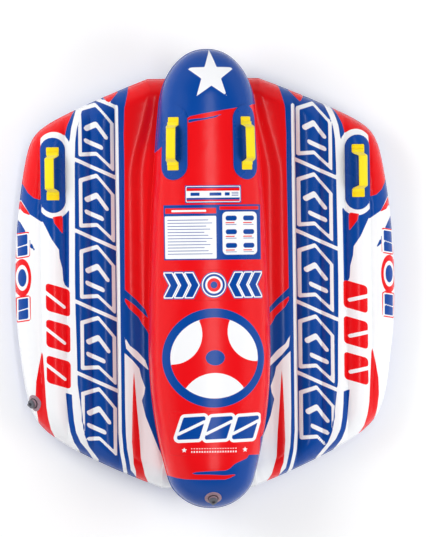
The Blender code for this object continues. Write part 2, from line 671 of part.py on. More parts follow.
def valve(name, surface, frame, skin):
    """A two-part inflation valve: base, screwed insert with its one-way flap, and tethered cap."""
    hole = cutter(name + "_hole", cylinder(name + "_hole", SOCKET_RADIUS + 0.0008, 0.050), frame)
    cut(skin, hole)
    valve_base(name, surface, frame)

    thread = SOCKET_RADIUS - SOCKET_WALL - THREAD_CLEARANCE
    collar = SOCKET_RADIUS - 0.0004
    collar_low = SOCKET_TOP + GAP
    insert_low = -SOCKET_DEPTH + 0.006
    insert_top = collar_low + 0.0022
    insert = [
        (collar, insert_top), (collar, collar_low), (thread, collar_low), (thread, insert_low),
        (SEAT_RADIUS - 0.003, insert_low), (SEAT_RADIUS - 0.003, insert_low + 0.0015),
        (thread - 0.0016, insert_low + 0.0015), (thread - 0.0016, insert_top),
    ]
    turned(name + "_insert", insert, "grey_plastic", frame)

    flap_top = insert_low - GAP
    flap_low = flap_top - FLAP_THICK
    flap = [(0, flap_top), (SEAT_RADIUS, flap_top), (SEAT_RADIUS, flap_low), (0, flap_low)]
    turned(name + "_flap", flap, "black_rubber", frame)

    cap_low = insert_top + GAP
    cap_top = cap_low + CAP_HEIGHT
    plug = SEAT_RADIUS + 0.0005
    cap = [
        (0, cap_top), (CAP_RADIUS - 0.0025, cap_top), (CAP_RADIUS, cap_top - 0.0018), (CAP_RADIUS, cap_low),
        (plug, cap_low), (plug - 0.0008, cap_low - CAP_PLUG), (0, cap_low - CAP_PLUG),
    ]
    turned(name + "_cap", cap, "grey_plastic", frame)

    inner_a = CAP_RADIUS + GAP
    band_top = cap_low + 0.0045
    band_low = band_top - TETHER_THICK
    tether = [
        (inner_a, band_low), (CAP_HINGE_OUT - TETHER_THICK / 2, band_low),
        (CAP_HINGE_OUT - TETHER_THICK / 2, CAP_HINGE_UP - 0.001),
        (CAP_HINGE_OUT + TETHER_THICK / 2, CAP_HINGE_UP - 0.001),
        (CAP_HINGE_OUT + TETHER_THICK / 2, band_top), (inner_a, band_top),
    ]
    upright = Matrix.Rotation(math.pi / 2, 4, "X")
    mesh = extruded_outline(name + "_tether", tether, TETHER_WIDTH)
    part(name + "_tether", mesh, "grey_plastic", frame @ upright)


def downhill(surface, x, y):
    """A frame on the surface whose X points down the slope."""
    normal = surface_normal(surface, x, y)
    level = Vector((0, 0, 1)).cross(normal).normalized()
    return seat(surface, x, y, level)


def valves(deck_skin, tube_skin):
    """One valve low on the deck's left rear roll, one on the tail of the centre tube."""
    inset = ROLL_RADIUS * (1 - math.sin(math.radians(DECK_VALVE_TILT)))
    x = -(float(deck_half_width(np.array(DECK_VALVE_Y))) - inset)
    valve("deck_valve", deck_top, downhill(deck_top, x, DECK_VALVE_Y), deck_skin)
    valve("tube_valve", tube_top, downhill(tube_top, 0.0, TUBE_VALVE_Y), tube_skin)


# ---------------------------------------------------------------- tow point
def tow_patch():
    """Reinforcing patch that wraps the deck's front edge, above and below the seam."""
    turn = np.radians(np.linspace(-PATCH_REACH, PATCH_REACH, 13))
    y = DECK_FRONT_Y - ROLL_RADIUS + (ROLL_RADIUS + PATCH_LIFT) * np.cos(turn)
    z = SEAM_Z + (DECK_HALF_THICK + PATCH_LIFT) * np.sin(turn)
    x = np.linspace(-PATCH_HALF_WIDTH, PATCH_HALF_WIDTH, 2)
    points = np.stack(np.broadcast_arrays(x[:, None], y[None, :], z[None, :]), axis=-1)
    patch = part("tow_patch", mapped_grid("tow_patch", points, flip=True), "black_webbing")
    thicken(patch, PATCH_THICK, 1)


def arc(centre, radius, first, last, steps):
    """Points on an arc, angles in degrees."""
    turn = [math.radians(first + (last - first) * i / steps) for i in range(steps + 1)]
    return [(centre[0] + radius * math.cos(t), centre[1] + radius * math.sin(t)) for t in turn]


def tow_point():
    """Webbing loop stitched to the patch, the steel pin it holds, and the rope link on the pin."""
    tow_patch()
    front = DECK_FRONT_Y + PATCH_LIFT + PATCH_THICK + 2 * GAP
    pin_y = front + TOW_PIN_OUT
    inner = TOW_PIN_RADIUS + GAP
    outer = inner + WEBBING
    sideways = Matrix.Rotation(math.pi / 2, 4, "Z") @ Matrix.Rotation(math.pi / 2, 4, "X")
    at_pin = Matrix.Translation((0, pin_y, SEAM_Z)) @ sideways

    root = front - pin_y
    loop = [(root, -WEBBING * 1.05), *arc((0, 0), outer, -110, 110, 14), (root, WEBBING * 1.05)]
    strap = part("tow_strap", extruded_outline("tow_strap", loop, TOW_STRAP_WIDTH), "black_webbing", at_pin)
    cut(strap, cutter("pin_passage", cylinder("pin_passage", inner, TOW_STRAP_WIDTH + 0.02), at_pin))
    slot_depth = outer + 0.012
    slot = extruded_outline("link_slot", [
        (-slot_depth, -0.03), (0.03, -0.03), (0.03, 0.03), (-slot_depth, 0.03)
    ], LINK_THICK + 0.003)
    cut(strap, cutter("link_slot", slot, at_pin))

    part("tow_pin", cylinder("tow_pin", TOW_PIN_RADIUS, TOW_PIN_LENGTH), "steel", at_pin)

    half = LINK_WIDTH / 2
    outline = arc((0, 0), half * 0.72, 0, 180, 10) + arc((0, -LINK_LENGTH), half, 180, 360, 12)
    link = part("tow_link", extruded_outline("tow_link", outline, LINK_THICK), "grey_plastic", at_pin)
    bore = cylinder("link_bore", TOW_PIN_RADIUS + GAP / 3, LINK_THICK + 0.02)
    cut(link, cutter("link_bore", bore, at_pin))
    eye = cylinder("rope_eye", EYE_RADIUS, LINK_THICK + 0.02)
    cut(link, cutter("rope_eye", eye, at_pin @ Matrix.Translation((0, -LINK_LENGTH, 0))))


# ---------------------------------------------------------------- assembly
clear_scene()
deck_skin = deck_panels()
deck_baffles()
tube_skin = centre_tube_panels()
joining_panel()
handles()
valves(deck_skin, tube_skin)
tow_point()
bpy.context.view_layer.update()
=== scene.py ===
import math

import bmesh
import bpy
import numpy as np
from mathutils import Matrix, Vector


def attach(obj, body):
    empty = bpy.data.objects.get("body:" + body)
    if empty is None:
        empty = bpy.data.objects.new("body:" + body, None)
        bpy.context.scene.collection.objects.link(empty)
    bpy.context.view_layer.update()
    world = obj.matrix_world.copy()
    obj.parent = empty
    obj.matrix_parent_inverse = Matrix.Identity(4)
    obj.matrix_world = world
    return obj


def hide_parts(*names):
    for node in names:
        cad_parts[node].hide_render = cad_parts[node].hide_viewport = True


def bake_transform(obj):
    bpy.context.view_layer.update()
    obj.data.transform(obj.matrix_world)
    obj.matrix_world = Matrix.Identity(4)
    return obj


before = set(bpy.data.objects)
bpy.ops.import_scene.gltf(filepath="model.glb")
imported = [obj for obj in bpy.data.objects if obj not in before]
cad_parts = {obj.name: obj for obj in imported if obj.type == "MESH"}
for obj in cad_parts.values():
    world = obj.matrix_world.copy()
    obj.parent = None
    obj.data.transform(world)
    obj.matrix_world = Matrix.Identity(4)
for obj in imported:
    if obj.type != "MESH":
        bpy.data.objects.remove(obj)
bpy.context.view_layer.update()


# ---------------------------------------------------------------- camera, light and floor
# Seen from straight above, a touch from the left, with a long lens. A long strip light over the
# middle draws the bright lines along the lobes; a wide soft light and a pale room fill the rest.
VIEW_HEIGHT = 2.180        # metres of the object plane from the top to the bottom of the view
CAMERA_DISTANCE = 40.0
CAMERA_LEAN = math.radians(4.4)
CAMERA_ROLL = math.radians(0.66)
view_middle = Vector((0.041, 0.040, 0.094))

camera = bpy.data.objects.new("camera", bpy.data.cameras.new("camera"))
bpy.context.scene.collection.objects.link(camera)
camera.data.sensor_width = 24.0
camera.data.lens = 24.0 * CAMERA_DISTANCE / VIEW_HEIGHT
camera.data.clip_end = 120.0
back = Vector((-math.sin(CAMERA_LEAN), 0.0, math.cos(CAMERA_LEAN)))
rough_up = Vector((math.sin(CAMERA_ROLL), math.cos(CAMERA_ROLL), 0.0))
right = rough_up.cross(back).normalized()
camera.matrix_world = Matrix.Translation(view_middle + back * CAMERA_DISTANCE) @ Matrix(
    (right, back.cross(right), back)
).transposed().to_4x4()
bpy.context.scene.camera = camera
bpy.context.scene.view_settings.view_transform = "Standard"


def soft_light(name, place, aim, width, length, power, mirrored=True):
    """Rectangular studio light at a place, turned to face the aim point; mirrored says whether the
    glossy sheet reflects it, or it is only spread over the scene as through a large diffuser."""
    light = bpy.data.lights.new(name, "AREA")
    light.shape, light.size, light.size_y, light.energy = "RECTANGLE", width, length, power
    lamp = bpy.data.objects.new(name, light)
    bpy.context.scene.collection.objects.link(lamp)
    away = (Vector(place) - Vector(aim)).normalized()
    side = Vector((0, 1, 0)).cross(away).normalized()
    lamp.visible_glossy = mirrored
    lamp.matrix_world = Matrix.Translation(place) @ Matrix((side, away.cross(side), away)).transposed().to_4x4()


soft_light("strip_light", (0.92, 0.0, 12.0), (0.0, 0.0, 0.2), 0.46, 12.0, 260.0)
soft_light("left_light", (-3.0, 1.2, 3.0), (0.0, 0.0, 0.1), 2.2, 2.6, 88.0, mirrored=False)
soft_light("right_light", (3.2, -0.6, 2.8), (0.0, 0.0, 0.1), 2.0, 2.6, 74.0, mirrored=False)


def add_node(tree, kind, inputs=None, **settings):
    """A shader node: inputs gives a value or another node's socket for each input, by name or number."""
    made = tree.nodes.new(kind)
    for setting, value in settings.items():
        setattr(made, setting, value)
    for socket, value in (inputs or {}).items():
        if isinstance(value, bpy.types.NodeSocket):
            tree.links.new(value, made.inputs[socket])
        else:
            made.inputs[socket].default_value = value
    return made


def new_material(name):
    """A material with its Principled node, as (material, tree, principled, object coordinates)."""
    made = bpy.data.materials.new(name)
    made.use_nodes = True
    tree = made.node_tree
    place = add_node(tree, "ShaderNodeTexCoord").outputs["Object"]
    return made, tree, tree.nodes["Principled BSDF"], place


def link(tree, socket, target):
    """Joins one socket to another."""
    tree.links.new(socket, target)


room = bpy.data.worlds.new("pale_room")
room.use_nodes = True
way = add_node(room.node_tree, "ShaderNodeTexCoord").outputs["Generated"]
height = add_node(room.node_tree, "ShaderNodeSeparateXYZ", {"Vector": way}).outputs["Z"]
wall_share = add_node(
    room.node_tree, "ShaderNodeMapRange",
    {"Value": height, "From Min": 0.30, "From Max": 0.80, "To Min": 0.90, "To Max": 0.15},
    interpolation_type="SMOOTHSTEP",
)
wall = room.node_tree.nodes["Background"]
link(room.node_tree, wall_share.outputs["Result"], wall.inputs["Strength"])
wall.inputs["Color"].default_value = (1.0, 0.99, 1.0, 1)
bpy.context.scene.world = room

floor_material, tree, glossy, place = new_material("pale_floor")
grain = add_node(tree, "ShaderNodeTexNoise", {"Vector": place, "Scale": 3.0, "Detail": 3.0})
tint = add_node(tree, "ShaderNodeMapRange", {"Value": grain.outputs["Fac"], "To Min": 0.91, "To Max": 0.93})
link(tree, tint.outputs["Result"], glossy.inputs["Base Color"])
glossy.inputs["Roughness"].default_value = 0.8
glossy.inputs["Emission Color"].default_value = (1.0, 1.0, 1.0, 1)
glossy.inputs["Emission Strength"].default_value = 0.16
FLOOR_REACH, FLOOR_Z = 12.0, -0.002
floor_mesh = bpy.data.meshes.new("studio_floor")
floor_corners = [(-FLOOR_REACH, -FLOOR_REACH, FLOOR_Z), (FLOOR_REACH, -FLOOR_REACH, FLOOR_Z),
                 (FLOOR_REACH, FLOOR_REACH, FLOOR_Z), (-FLOOR_REACH, FLOOR_REACH, FLOOR_Z)]
floor_mesh.from_pydata(floor_corners, [], [(0, 1, 2, 3)])
floor = bpy.data.objects.new("studio_floor", floor_mesh)
bpy.context.scene.collection.objects.link(floor)
floor_mesh.materials.append(floor_material)


# ---------------------------------------------------------------- deck: printed upper skin
# The flat chamber that the riders lie on: 0.8 mm PVC sheet, printed on its upper side and held down
# along thirteen lobes by upright sheets welded inside. It closes in a round roll to a seam all round.
DECK_FRONT_Y, DECK_REAR_Y, WIDEST_Y = 0.810, -0.847, -0.020
DECK_HALF_WIDTH, SIDE_BOW = 0.769, 0.18
END_FLARE, CORNER_POWER = 2.6, 16
FRONT_HALF_WIDTH, FRONT_CURVE = 0.225, 1.6
REAR_HALF_WIDTH, REAR_CURVE = 0.180, 2.4
DECK_HALF_THICK, LOBE_RADIUS, LOBES, EDGE_TUBE = 0.095, 0.080, 13, 0.097
SEAM_Z = 0.094
CREASE_X = DECK_HALF_WIDTH - EDGE_TUBE
PITCH = 2 * CREASE_X / LOBES
CREASE_HEIGHT = DECK_HALF_THICK - LOBE_RADIUS + math.sqrt(LOBE_RADIUS**2 - (PITCH / 2) ** 2)
ROLL_RADIUS = (EDGE_TUBE**2 + CREASE_HEIGHT**2) / (2 * EDGE_TUBE)
SKIN = 0.0008


def deck_half_width(y):
    """Half-width at y: a power blend of the front curve, the bowed side and the rear curve, each a
    width plus a slope times the distance from its end, less a share of that distance squared."""
    ahead, behind = np.clip(DECK_FRONT_Y - y, 0, None), np.clip(y - DECK_REAR_Y, 0, None)
    front_run = np.minimum(ahead, END_FLARE / (2 * FRONT_CURVE))
    rear_run = np.minimum(behind, END_FLARE / (2 * REAR_CURVE))
    front = FRONT_HALF_WIDTH + END_FLARE * front_run - FRONT_CURVE * front_run**2 + ahead - front_run
    rear = REAR_HALF_WIDTH + END_FLARE * rear_run - REAR_CURVE * rear_run**2 + behind - rear_run
    side = DECK_HALF_WIDTH - SIDE_BOW * (y - WIDEST_Y) ** 2
    return (front**-CORNER_POWER + side**-CORNER_POWER + rear**-CORNER_POWER) ** (-1 / CORNER_POWER)


turn = (1 - np.cos(np.linspace(0, math.pi, 120))) / 2
front_y = DECK_FRONT_Y + (WIDEST_Y - DECK_FRONT_Y) * turn
rear_y = DECK_REAR_Y + (WIDEST_Y - DECK_REAR_Y) * turn
deck_front = np.concatenate([[[0.0, DECK_FRONT_Y]], np.stack([deck_half_width(front_y), front_y], 1)])
deck_rear = np.concatenate([[[0.0, DECK_REAR_Y]], np.stack([deck_half_width(rear_y), rear_y], 1)])
deck_edge = np.concatenate([deck_front, deck_rear[::-1]])


def edge_distance(x, y):
    """Least distance in plan to the deck's outline, and how far along the outline that place is."""
    start, step = deck_edge[:-1], np.diff(deck_edge, axis=0)
    length = np.maximum(np.hypot(step[:, 0], step[:, 1]), 1e-9)
    run = np.concatenate([[0.0], np.cumsum(length)])[:-1]
    best, along = np.full(np.shape(x), 9.0), np.zeros(np.shape(x))
    for a, d, size, done in zip(start, step, length, run):
        share = np.clip(((np.abs(x) - a[0]) * d[0] + (y - a[1]) * d[1]) / size**2, 0, 1)
        away = np.hypot(np.abs(x) - a[0] - share * d[0], y - a[1] - share * d[1])
        along = np.where(away < best, done + share * size, along)
        best = np.minimum(away, best)
    inside = (np.abs(x) < deck_half_width(y)) & (y < DECK_FRONT_Y) & (y > DECK_REAR_Y)
    return np.where(inside, best, 0.0), along


CREST_BEND_FROM, CREST_BEND_RUN, CREST_BEND = 0.40, 0.36, 0.070
BROAD_LOBE_DIP, SEAM_GATHER, WELD_PULL = 0.0055, 0.0014, 0.0006


def deck_rise(x, y, upper=True):
    """Height above the seam: an arc between each two welds and a round roll outside the last, times
    a quarter circle that closes it at the edge. On the upper side the lobe beside the centre tube is
    broad and its crest bends inwards at the front. Small gathers run in from the seam and the welds."""
    spread = np.abs(x)
    if upper:
        bend = np.clip((y - CREST_BEND_FROM) / CREST_BEND_RUN, 0, 1)
        crest = 3 * PITCH - CREST_BEND * bend**2 * (3 - 2 * bend)
        outer = 3 * PITCH + (spread - crest) * 0.5 * PITCH / (3.5 * PITCH - crest)
        moved = np.where(spread < crest, spread * 3 * PITCH / crest, np.where(spread < 3.5 * PITCH, outer, spread))
        depth = np.where(spread < crest, 0.0, 1.0)
    else:
        moved, depth = spread, 1.0
    from_crest = np.abs((moved / PITCH + 0.5) % 1 - 0.5) * PITCH
    drop = LOBE_RADIUS - np.sqrt(LOBE_RADIUS**2 - from_crest**2)
    if upper:
        dip = BROAD_LOBE_DIP * (1 - np.cos(2 * math.pi * from_crest / PITCH)) / 2
        drop = np.where(spread < crest, dip, drop)
    lobe = DECK_HALF_THICK - drop
    short = np.clip(DECK_HALF_WIDTH - ROLL_RADIUS - spread, 0, EDGE_TUBE - ROLL_RADIUS)
    height = np.where(spread <= CREASE_X, lobe, np.sqrt(ROLL_RADIUS**2 - short**2))
    inset, along = edge_distance(x, y)
    fading = 1 - np.clip(inset / 0.11, 0, 1) ** 0.5
    height = np.where(spread <= CREASE_X, height + 0.65 * (CREASE_HEIGHT - height) * fading, height)
    share = np.sqrt(1 - (1 - np.clip(inset / ROLL_RADIUS, 0, 1)) ** 2)
    gather = np.sin(along * 150 + 2.2 * np.sin(along * 23)) * np.exp(-inset / 0.028)
    gather = gather * np.clip(inset / 0.010, 0, 1)
    to_weld = np.where(spread <= CREASE_X + 0.02, np.abs(PITCH / 2 - from_crest), 1.0)
    pull = np.sin(y * 118 + 3 * np.sin(y * 17 + moved * 40)) * np.exp(-to_weld / 0.008)
    pull = pull * np.clip(inset / 0.05, 0, 1)
    return height * share + SEAM_GATHER * gather + WELD_PULL * depth * pull


def deck_plan(per_lobe, edge_steps, middle_steps):
    """Plan points of one deck skin: columns fore and aft along the lobes, side columns that follow the
    outline, rows that crowd together towards the front and rear edges as on a quarter circle."""
    insets = ROLL_RADIUS * (1 - np.cos(np.linspace(0, math.pi / 2, edge_steps + 1)))
    columns = np.linspace(-CREASE_X, CREASE_X, LOBES * per_lobe + 1)
    spread = np.abs(columns)[:, None]
    ends = []
    for outline in (deck_rear, deck_front):
        reach = np.interp(spread, outline[:, 0], outline[:, 1])
        slant = np.interp(spread, outline[:, 0], np.gradient(outline[:, 1], outline[:, 0] + 1e-9))
        ends.append((reach, np.clip(np.sqrt(1 + slant**2), 1, 1.7)))
    (rear, rear_step), (ahead, front_step) = ends
    low, high = rear + rear_step * insets[-1], ahead - front_step * insets[-1]
    share = np.linspace(0, 1, middle_steps + 1)[1:-1]
    middle = low + (high - low) * share
    y = np.concatenate([rear + rear_step * insets, middle, ahead - front_step * insets[::-1]], 1)
    x = np.broadcast_to(columns[:, None], y.shape)
    room_out = deck_half_width(y[-1]) - CREASE_X
    room_out[[0, -1]] = 0.0
    part_out = np.concatenate([np.linspace(0, 1 - ROLL_RADIUS / EDGE_TUBE, 4)[1:-1], 1 - insets[::-1] / EDGE_TUBE])
    side_x = CREASE_X + np.clip(room_out, 0, None) * part_out[:, None]
    side_y = np.broadcast_to(y[-1], side_x.shape)
    return np.concatenate([-side_x[::-1], x, side_x]), np.concatenate([side_y, y, side_y])


def polygon_inside(x, y, corners):
    """Signed distance to a closed polygon, positive inside: the least distance to its sides, with the
    sign from how many sides lie to the right of the point."""
    points = np.array(corners, float)
    best, crossed = np.full(x.shape, 9.0), np.zeros(x.shape, bool)
    for (ax, ay), (bx, by) in zip(points, np.roll(points, -1, axis=0)):
        dx, dy = bx - ax, by - ay
        share = np.clip(((x - ax) * dx + (y - ay) * dy) / (dx * dx + dy * dy + 1e-12), 0, 1)
        best = np.minimum(best, np.hypot(x - ax - share * dx, y - ay - share * dy))
        spans = (ay > y) != (by > y)
        crossed ^= spans & (x < ax + (y - ay) * dx / (dy if abs(dy) > 1e-12 else 1e-12))
    return np.where(crossed, best, -best)


def line_inside(x, y, corners, half_width):
    """Half-width less the distance to an open line through the corners."""
    best = np.full(x.shape, 9.0)
    for (ax, ay), (bx, by) in zip(corners[:-1], corners[1:]):
        dx, dy = bx - ax, by - ay
        share = np.clip(((x - ax) * dx + (y - ay) * dy) / (dx * dx + dy * dy), 0, 1)
        best = np.minimum(best, np.hypot(x - ax - share * dx, y - ay - share * dy))
    return half_width - best


def disc_inside(x, y, centre, across, along=None):
    """Signed distance to a circle or, near enough, to an ellipse."""
    along = along or across
    return (1 - np.hypot((x - centre[0]) / across, (y - centre[1]) / along)) * min(across, along)


class Print:
    """Ink on white sheet as two signed distances, red and blue, each positive inside its own colour.
    A colour laid over another takes the other's place inside its shape."""

    def __init__(self, shape):
        self.red, self.blue = np.full(shape, -1.0), np.full(shape, -1.0)

    def lay(self, colour, inside):
        self.red = np.maximum(self.red, inside) if colour == "red" else np.minimum(self.red, -inside)
        self.blue = np.maximum(self.blue, inside) if colour == "blue" else np.minimum(self.blue, -inside)

    def layers(self):
        return {"red": self.red, "blue": self.blue}


INNER_RED = [(-0.1, 0.95), (0.35, 0.95), (0.345, -0.10), (0.23, -0.25), (-0.1, -0.3)]
BAND = [(0.500, 0.705), (0.512, 0.656), (0.521, 0.611), (0.527, 0.559), (0.530, 0.465), (0.532, 0.323),
        (0.534, 0.161), (0.535, -0.002), (0.534, -0.136), (0.531, -0.266), (0.529, -0.423), (0.518, -0.513),
        (0.514, -0.570), (0.503, -0.628), (0.485, -0.674), (0.443, -0.729), (0.427, -0.815), (0.274, -0.877),
        (0.283, -0.810), (0.315, -0.773), (0.331, -0.687), (0.335, -0.630), (0.337, -0.539), (0.337, -0.288),
        (0.333, -0.084), (0.329, 0.480), (0.330, 0.586), (0.326, 0.693), (0.307, 0.771), (0.291, 0.825),
        (0.486, 0.826), (0.496, 0.729)]
OUTER_RED = [(0.906, 0.395), (0.739, 0.393), (0.719, 0.354), (0.696, 0.333), (0.665, 0.324), (0.629, 0.320),
             (0.527, 0.319), (0.515, 0.810), (0.901, 0.814)]
FRONT_BLUE = [(0.487, 0.745), (0.512, 0.705), (0.538, 0.668), (0.559, 0.624), (0.568, 0.588), (0.570, 0.527),
              (0.559, 0.486), (0.562, 0.254), (0.524, 0.254), (0.521, 0.526), (0.492, 0.680)]
SWEEP_BLUE = [(0.906, 0.395), (0.739, 0.393), (0.719, 0.354), (0.696, 0.333), (0.665, 0.324), (0.629, 0.320),
              (0.555, 0.319), (0.558, -0.036), (0.575, -0.020), (0.582, -0.001), (0.585, 0.046), (0.596, 0.088),
              (0.599, 0.124), (0.628, 0.166), (0.648, 0.208), (0.662, 0.237), (0.668, 0.237), (0.714, 0.268),
              (0.745, 0.325), (0.907, 0.347)]
EDGE_RED = [(0.907, 0.343), (0.745, 0.321), (0.736, 0.303), (0.714, 0.268), (0.709, 0.262), (0.737, 0.274),
            (0.748, 0.289), (0.907, 0.306)]
RING_RED = [(0.622, 0.255), (0.585, 0.261), (0.581, 0.249), (0.581, 0.186), (0.598, 0.207), (0.616, 0.231)]
WALL_BLUE = [(0.775, 0.266), (0.750, 0.236), (0.722, 0.182), (0.690, 0.114), (0.716, 0.136), (0.736, 0.150),
             (0.775, 0.190)]
STRIPE = [(0.488, 0.733), (0.502, 0.701), (0.519, 0.656), (0.532, 0.612), (0.539, 0.559), (0.542, 0.465),
          (0.543, 0.323), (0.545, 0.120), (0.547, -0.042), (0.547, -0.123)]
NOTCH_RED = [(0.408, 0.740), (0.394, 0.769), (0.346, 0.785), (0.347, 0.760), (0.390, 0.712)]
TONGUE_BLUE = [(0.345, -0.030), (0.287, -0.083), (0.251, -0.122), (0.234, -0.172), (0.241, -0.158),
               (0.261, -0.137), (0.294, -0.105), (0.345, -0.066)]
WEDGE_BLUE = [(0.357, -0.076), (0.335, -0.086), (0.317, -0.118), (0.278, -0.154), (0.265, -0.180),
              (0.246, -0.206), (0.237, -0.226), (0.008, -0.290), (0.010, -0.879), (0.131, -0.858),
              (0.173, -0.751), (0.204, -0.686), (0.229, -0.621), (0.254, -0.556), (0.269, -0.491),
              (0.259, -0.465), (0.255, -0.439), (0.271, -0.394), (0.278, -0.361), (0.304, -0.329),
              (0.335, -0.299), (0.360, -0.271)]
FEATHER_WHITE = [(0.337, -0.232), (0.316, -0.268), (0.283, -0.294), (0.254, -0.327), (0.238, -0.372),
                 (0.271, -0.341), (0.303, -0.311), (0.330, -0.280)]
INNER_SPEAR = [(0.301, -0.366), (0.296, -0.432), (0.289, -0.530), (0.281, -0.627), (0.276, -0.724),
               (0.258, -0.796), (0.239, -0.830), (0.233, -0.877), (0.282, -0.856), (0.295, -0.775),
               (0.304, -0.750), (0.311, -0.659), (0.308, -0.530), (0.304, -0.432)]
OUTER_SPEAR = [(0.669, -0.280), (0.683, -0.342), (0.695, -0.410), (0.698, -0.473), (0.692, -0.530),
               (0.685, -0.569), (0.668, -0.618), (0.604, -0.675), (0.617, -0.639), (0.637, -0.604),
               (0.649, -0.559), (0.656, -0.513), (0.659, -0.456), (0.662, -0.399), (0.665, -0.342)]
REAR_BLUE = [(0.577, -0.456), (0.572, -0.513), (0.567, -0.571), (0.559, -0.617), (0.544, -0.657),
             (0.520, -0.692), (0.483, -0.749), (0.455, -0.741), (0.464, -0.726), (0.490, -0.691),
             (0.519, -0.657), (0.537, -0.617), (0.545, -0.571), (0.550, -0.514), (0.552, -0.464)]
INNER_LINE = [(0.3585, 0.700), (0.3585, -0.620), (0.352, -0.700), (0.338, -0.770), (0.318, -0.840)]


def deck_print(x, y):
    """The deck's print, colour over colour: alike on both sides, but for the lean of its bars."""
    right_side, x = x > 0, np.abs(x)
    ink = Print(x.shape)
    ink.lay("red", polygon_inside(x, y, INNER_RED))
    ink.lay("red", polygon_inside(x, y, OUTER_RED))
    ink.lay("blue", polygon_inside(x, y, FRONT_BLUE))
    ink.lay("blue", polygon_inside(x, y, SWEEP_BLUE))
    ink.lay("red", polygon_inside(x, y, EDGE_RED))
    ink.lay("blue", polygon_inside(x, y, WEDGE_BLUE))
    ink.lay("blue", polygon_inside(x, y, TONGUE_BLUE))
    ink.lay("white", polygon_inside(x, y, FEATHER_WHITE))
    ink.lay("blue", polygon_inside(x, y, BAND))
    ink.lay("red", polygon_inside(x, y, NOTCH_RED))
    ring = np.minimum(line_inside(x, y, [(0.614, 0.315), (0.614, 0.535)], 0.0655), 0.667 - x)
    ink.lay("white", ring)
    ink.lay("blue", line_inside(x, y, [(0.618, 0.322), (0.618, 0.526)], 0.0500))
    ink.lay("red", polygon_inside(x, y, RING_RED))
    ink.lay("blue", polygon_inside(x, y, WALL_BLUE))
    ink.lay("white", line_inside(x, y, STRIPE, 0.0112))
    ink.lay("red", polygon_inside(x, y, INNER_SPEAR))
    ink.lay("red", polygon_inside(x, y, OUTER_SPEAR))
    ink.lay("blue", polygon_inside(x, y, REAR_BLUE))

    inner_band = polygon_inside(x, y, BAND) - 0.009
    ink.lay("white", np.minimum(line_inside(x, y, INNER_LINE, 0.0070), inner_band))
    lean = y - 0.46 * np.where(right_side, -1.0, 1.0) * (x - 0.438)
    for number in range(5):
        middle = 0.590 - 0.288 * number
        up = lean - middle
        cross = 0.0080 - np.abs(up - 0.144)
        ink.lay("white", np.minimum(np.minimum(cross, x - 0.352), np.minimum(0.545 - x, inner_band + 0.010)))
        arrow = polygon_inside(x, up, [(0.376, -0.118), (0.442, -0.084), (0.510, -0.118),
                                       (0.510, 0.070), (0.442, 0.120), (0.376, 0.070)])
        ink.lay("white", np.minimum(0.0070 - np.abs(arrow - 0.002), inner_band + 0.004))
        vee = line_inside(x, up, [(0.404, 0.002), (0.442, 0.038), (0.483, 0.002)], 0.0095)
        slot = line_inside(x, up, [(0.424, -0.048), (0.483, -0.048)], 0.0095)
        ink.lay("white", np.minimum(np.maximum(vee, slot), inner_band))
    slant = y - 0.30 * np.where(right_side, -1.0, 1.0) * (x - 0.605)
    for low in (-0.135, -0.281, -0.427):
        up = slant - low
        block = polygon_inside(x, up, [(0.639, 0.096), (0.570, 0.096), (0.570, 0.014), (0.639, 0.014)]) + 0.014
        ink.lay("red", block)
        cut = line_inside(x, up, [(0.580, 0.034), (0.680, 0.084)], 0.0075)
        ink.lay("white", np.minimum(cut, block + 0.004))
    for low in (0.098, -0.160):
        up = y - low
        bars = np.maximum(
            polygon_inside(x, up, [(0.762, 0.084), (0.724, 0.090), (0.724, 0.050), (0.762, 0.038)]),
            polygon_inside(x, up, [(0.762, 0.034), (0.724, 0.046), (0.724, 0.006), (0.762, 0.0)]),
        )
        ink.lay("red", bars + 0.0095)
        ink.lay("white", bars + 0.0050)
        ink.lay("blue", bars)
    for colour, across, along_y in (("red", 0.035, 0.076), ("white", 0.0240, 0.053), ("blue", 0.0165, 0.036)):
        ink.lay(colour, disc_inside(x, y, (0.746, 0.011), across, along_y))
    return ink.layers()


def grid_mesh(name, points, closed=False, layers=None):
    """Mesh of quads through the points of a grid; closed joins the last column to the first one.
    Corners that fall together are merged, and each layer is kept as a number at every point."""
    across, along = points.shape[:2]
    order = np.arange(across * along).reshape(across, along)
    if closed:
        order = np.concatenate([order, order[:1]])
    quads = np.stack([order[:-1, :-1], order[1:, :-1], order[1:, 1:], order[:-1, 1:]], -1).reshape(-1, 4)
    mesh = bpy.data.meshes.new(name)
    mesh.from_pydata(points.reshape(-1, 3).tolist(), [], quads.tolist())
    for layer, values in (layers or {}).items():
        kept = mesh.attributes.new(layer, "FLOAT", "POINT")
        kept.data.foreach_set("value", np.ascontiguousarray(values, np.float32).ravel())
    bm = bmesh.new()
    bm.from_mesh(mesh)
    bmesh.ops.remove_doubles(bm, verts=bm.verts, dist=2e-6)
    bmesh.ops.dissolve_degenerate(bm, edges=bm.edges, dist=1e-6)
    bm.to_mesh(mesh)
    bm.free()
    return mesh


def add_piece(name, mesh, material, body, crease=35, thick=None, outward=-1):
    """Puts the mesh in the scene as a smooth-shaded piece that rides on a body, with a thickness if
    one is given."""
    mesh.materials.append(material)
    mesh.shade_smooth()
    mesh.set_sharp_from_angle(angle=math.radians(crease))
    piece = bpy.data.objects.new(name, mesh)
    bpy.context.scene.collection.objects.link(piece)
    if thick:
        wall = piece.modifiers.new("sheet", "SOLIDIFY")
        wall.thickness, wall.offset, wall.use_even_offset = thick, outward, False
    if body:
        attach(piece, body)
    return piece


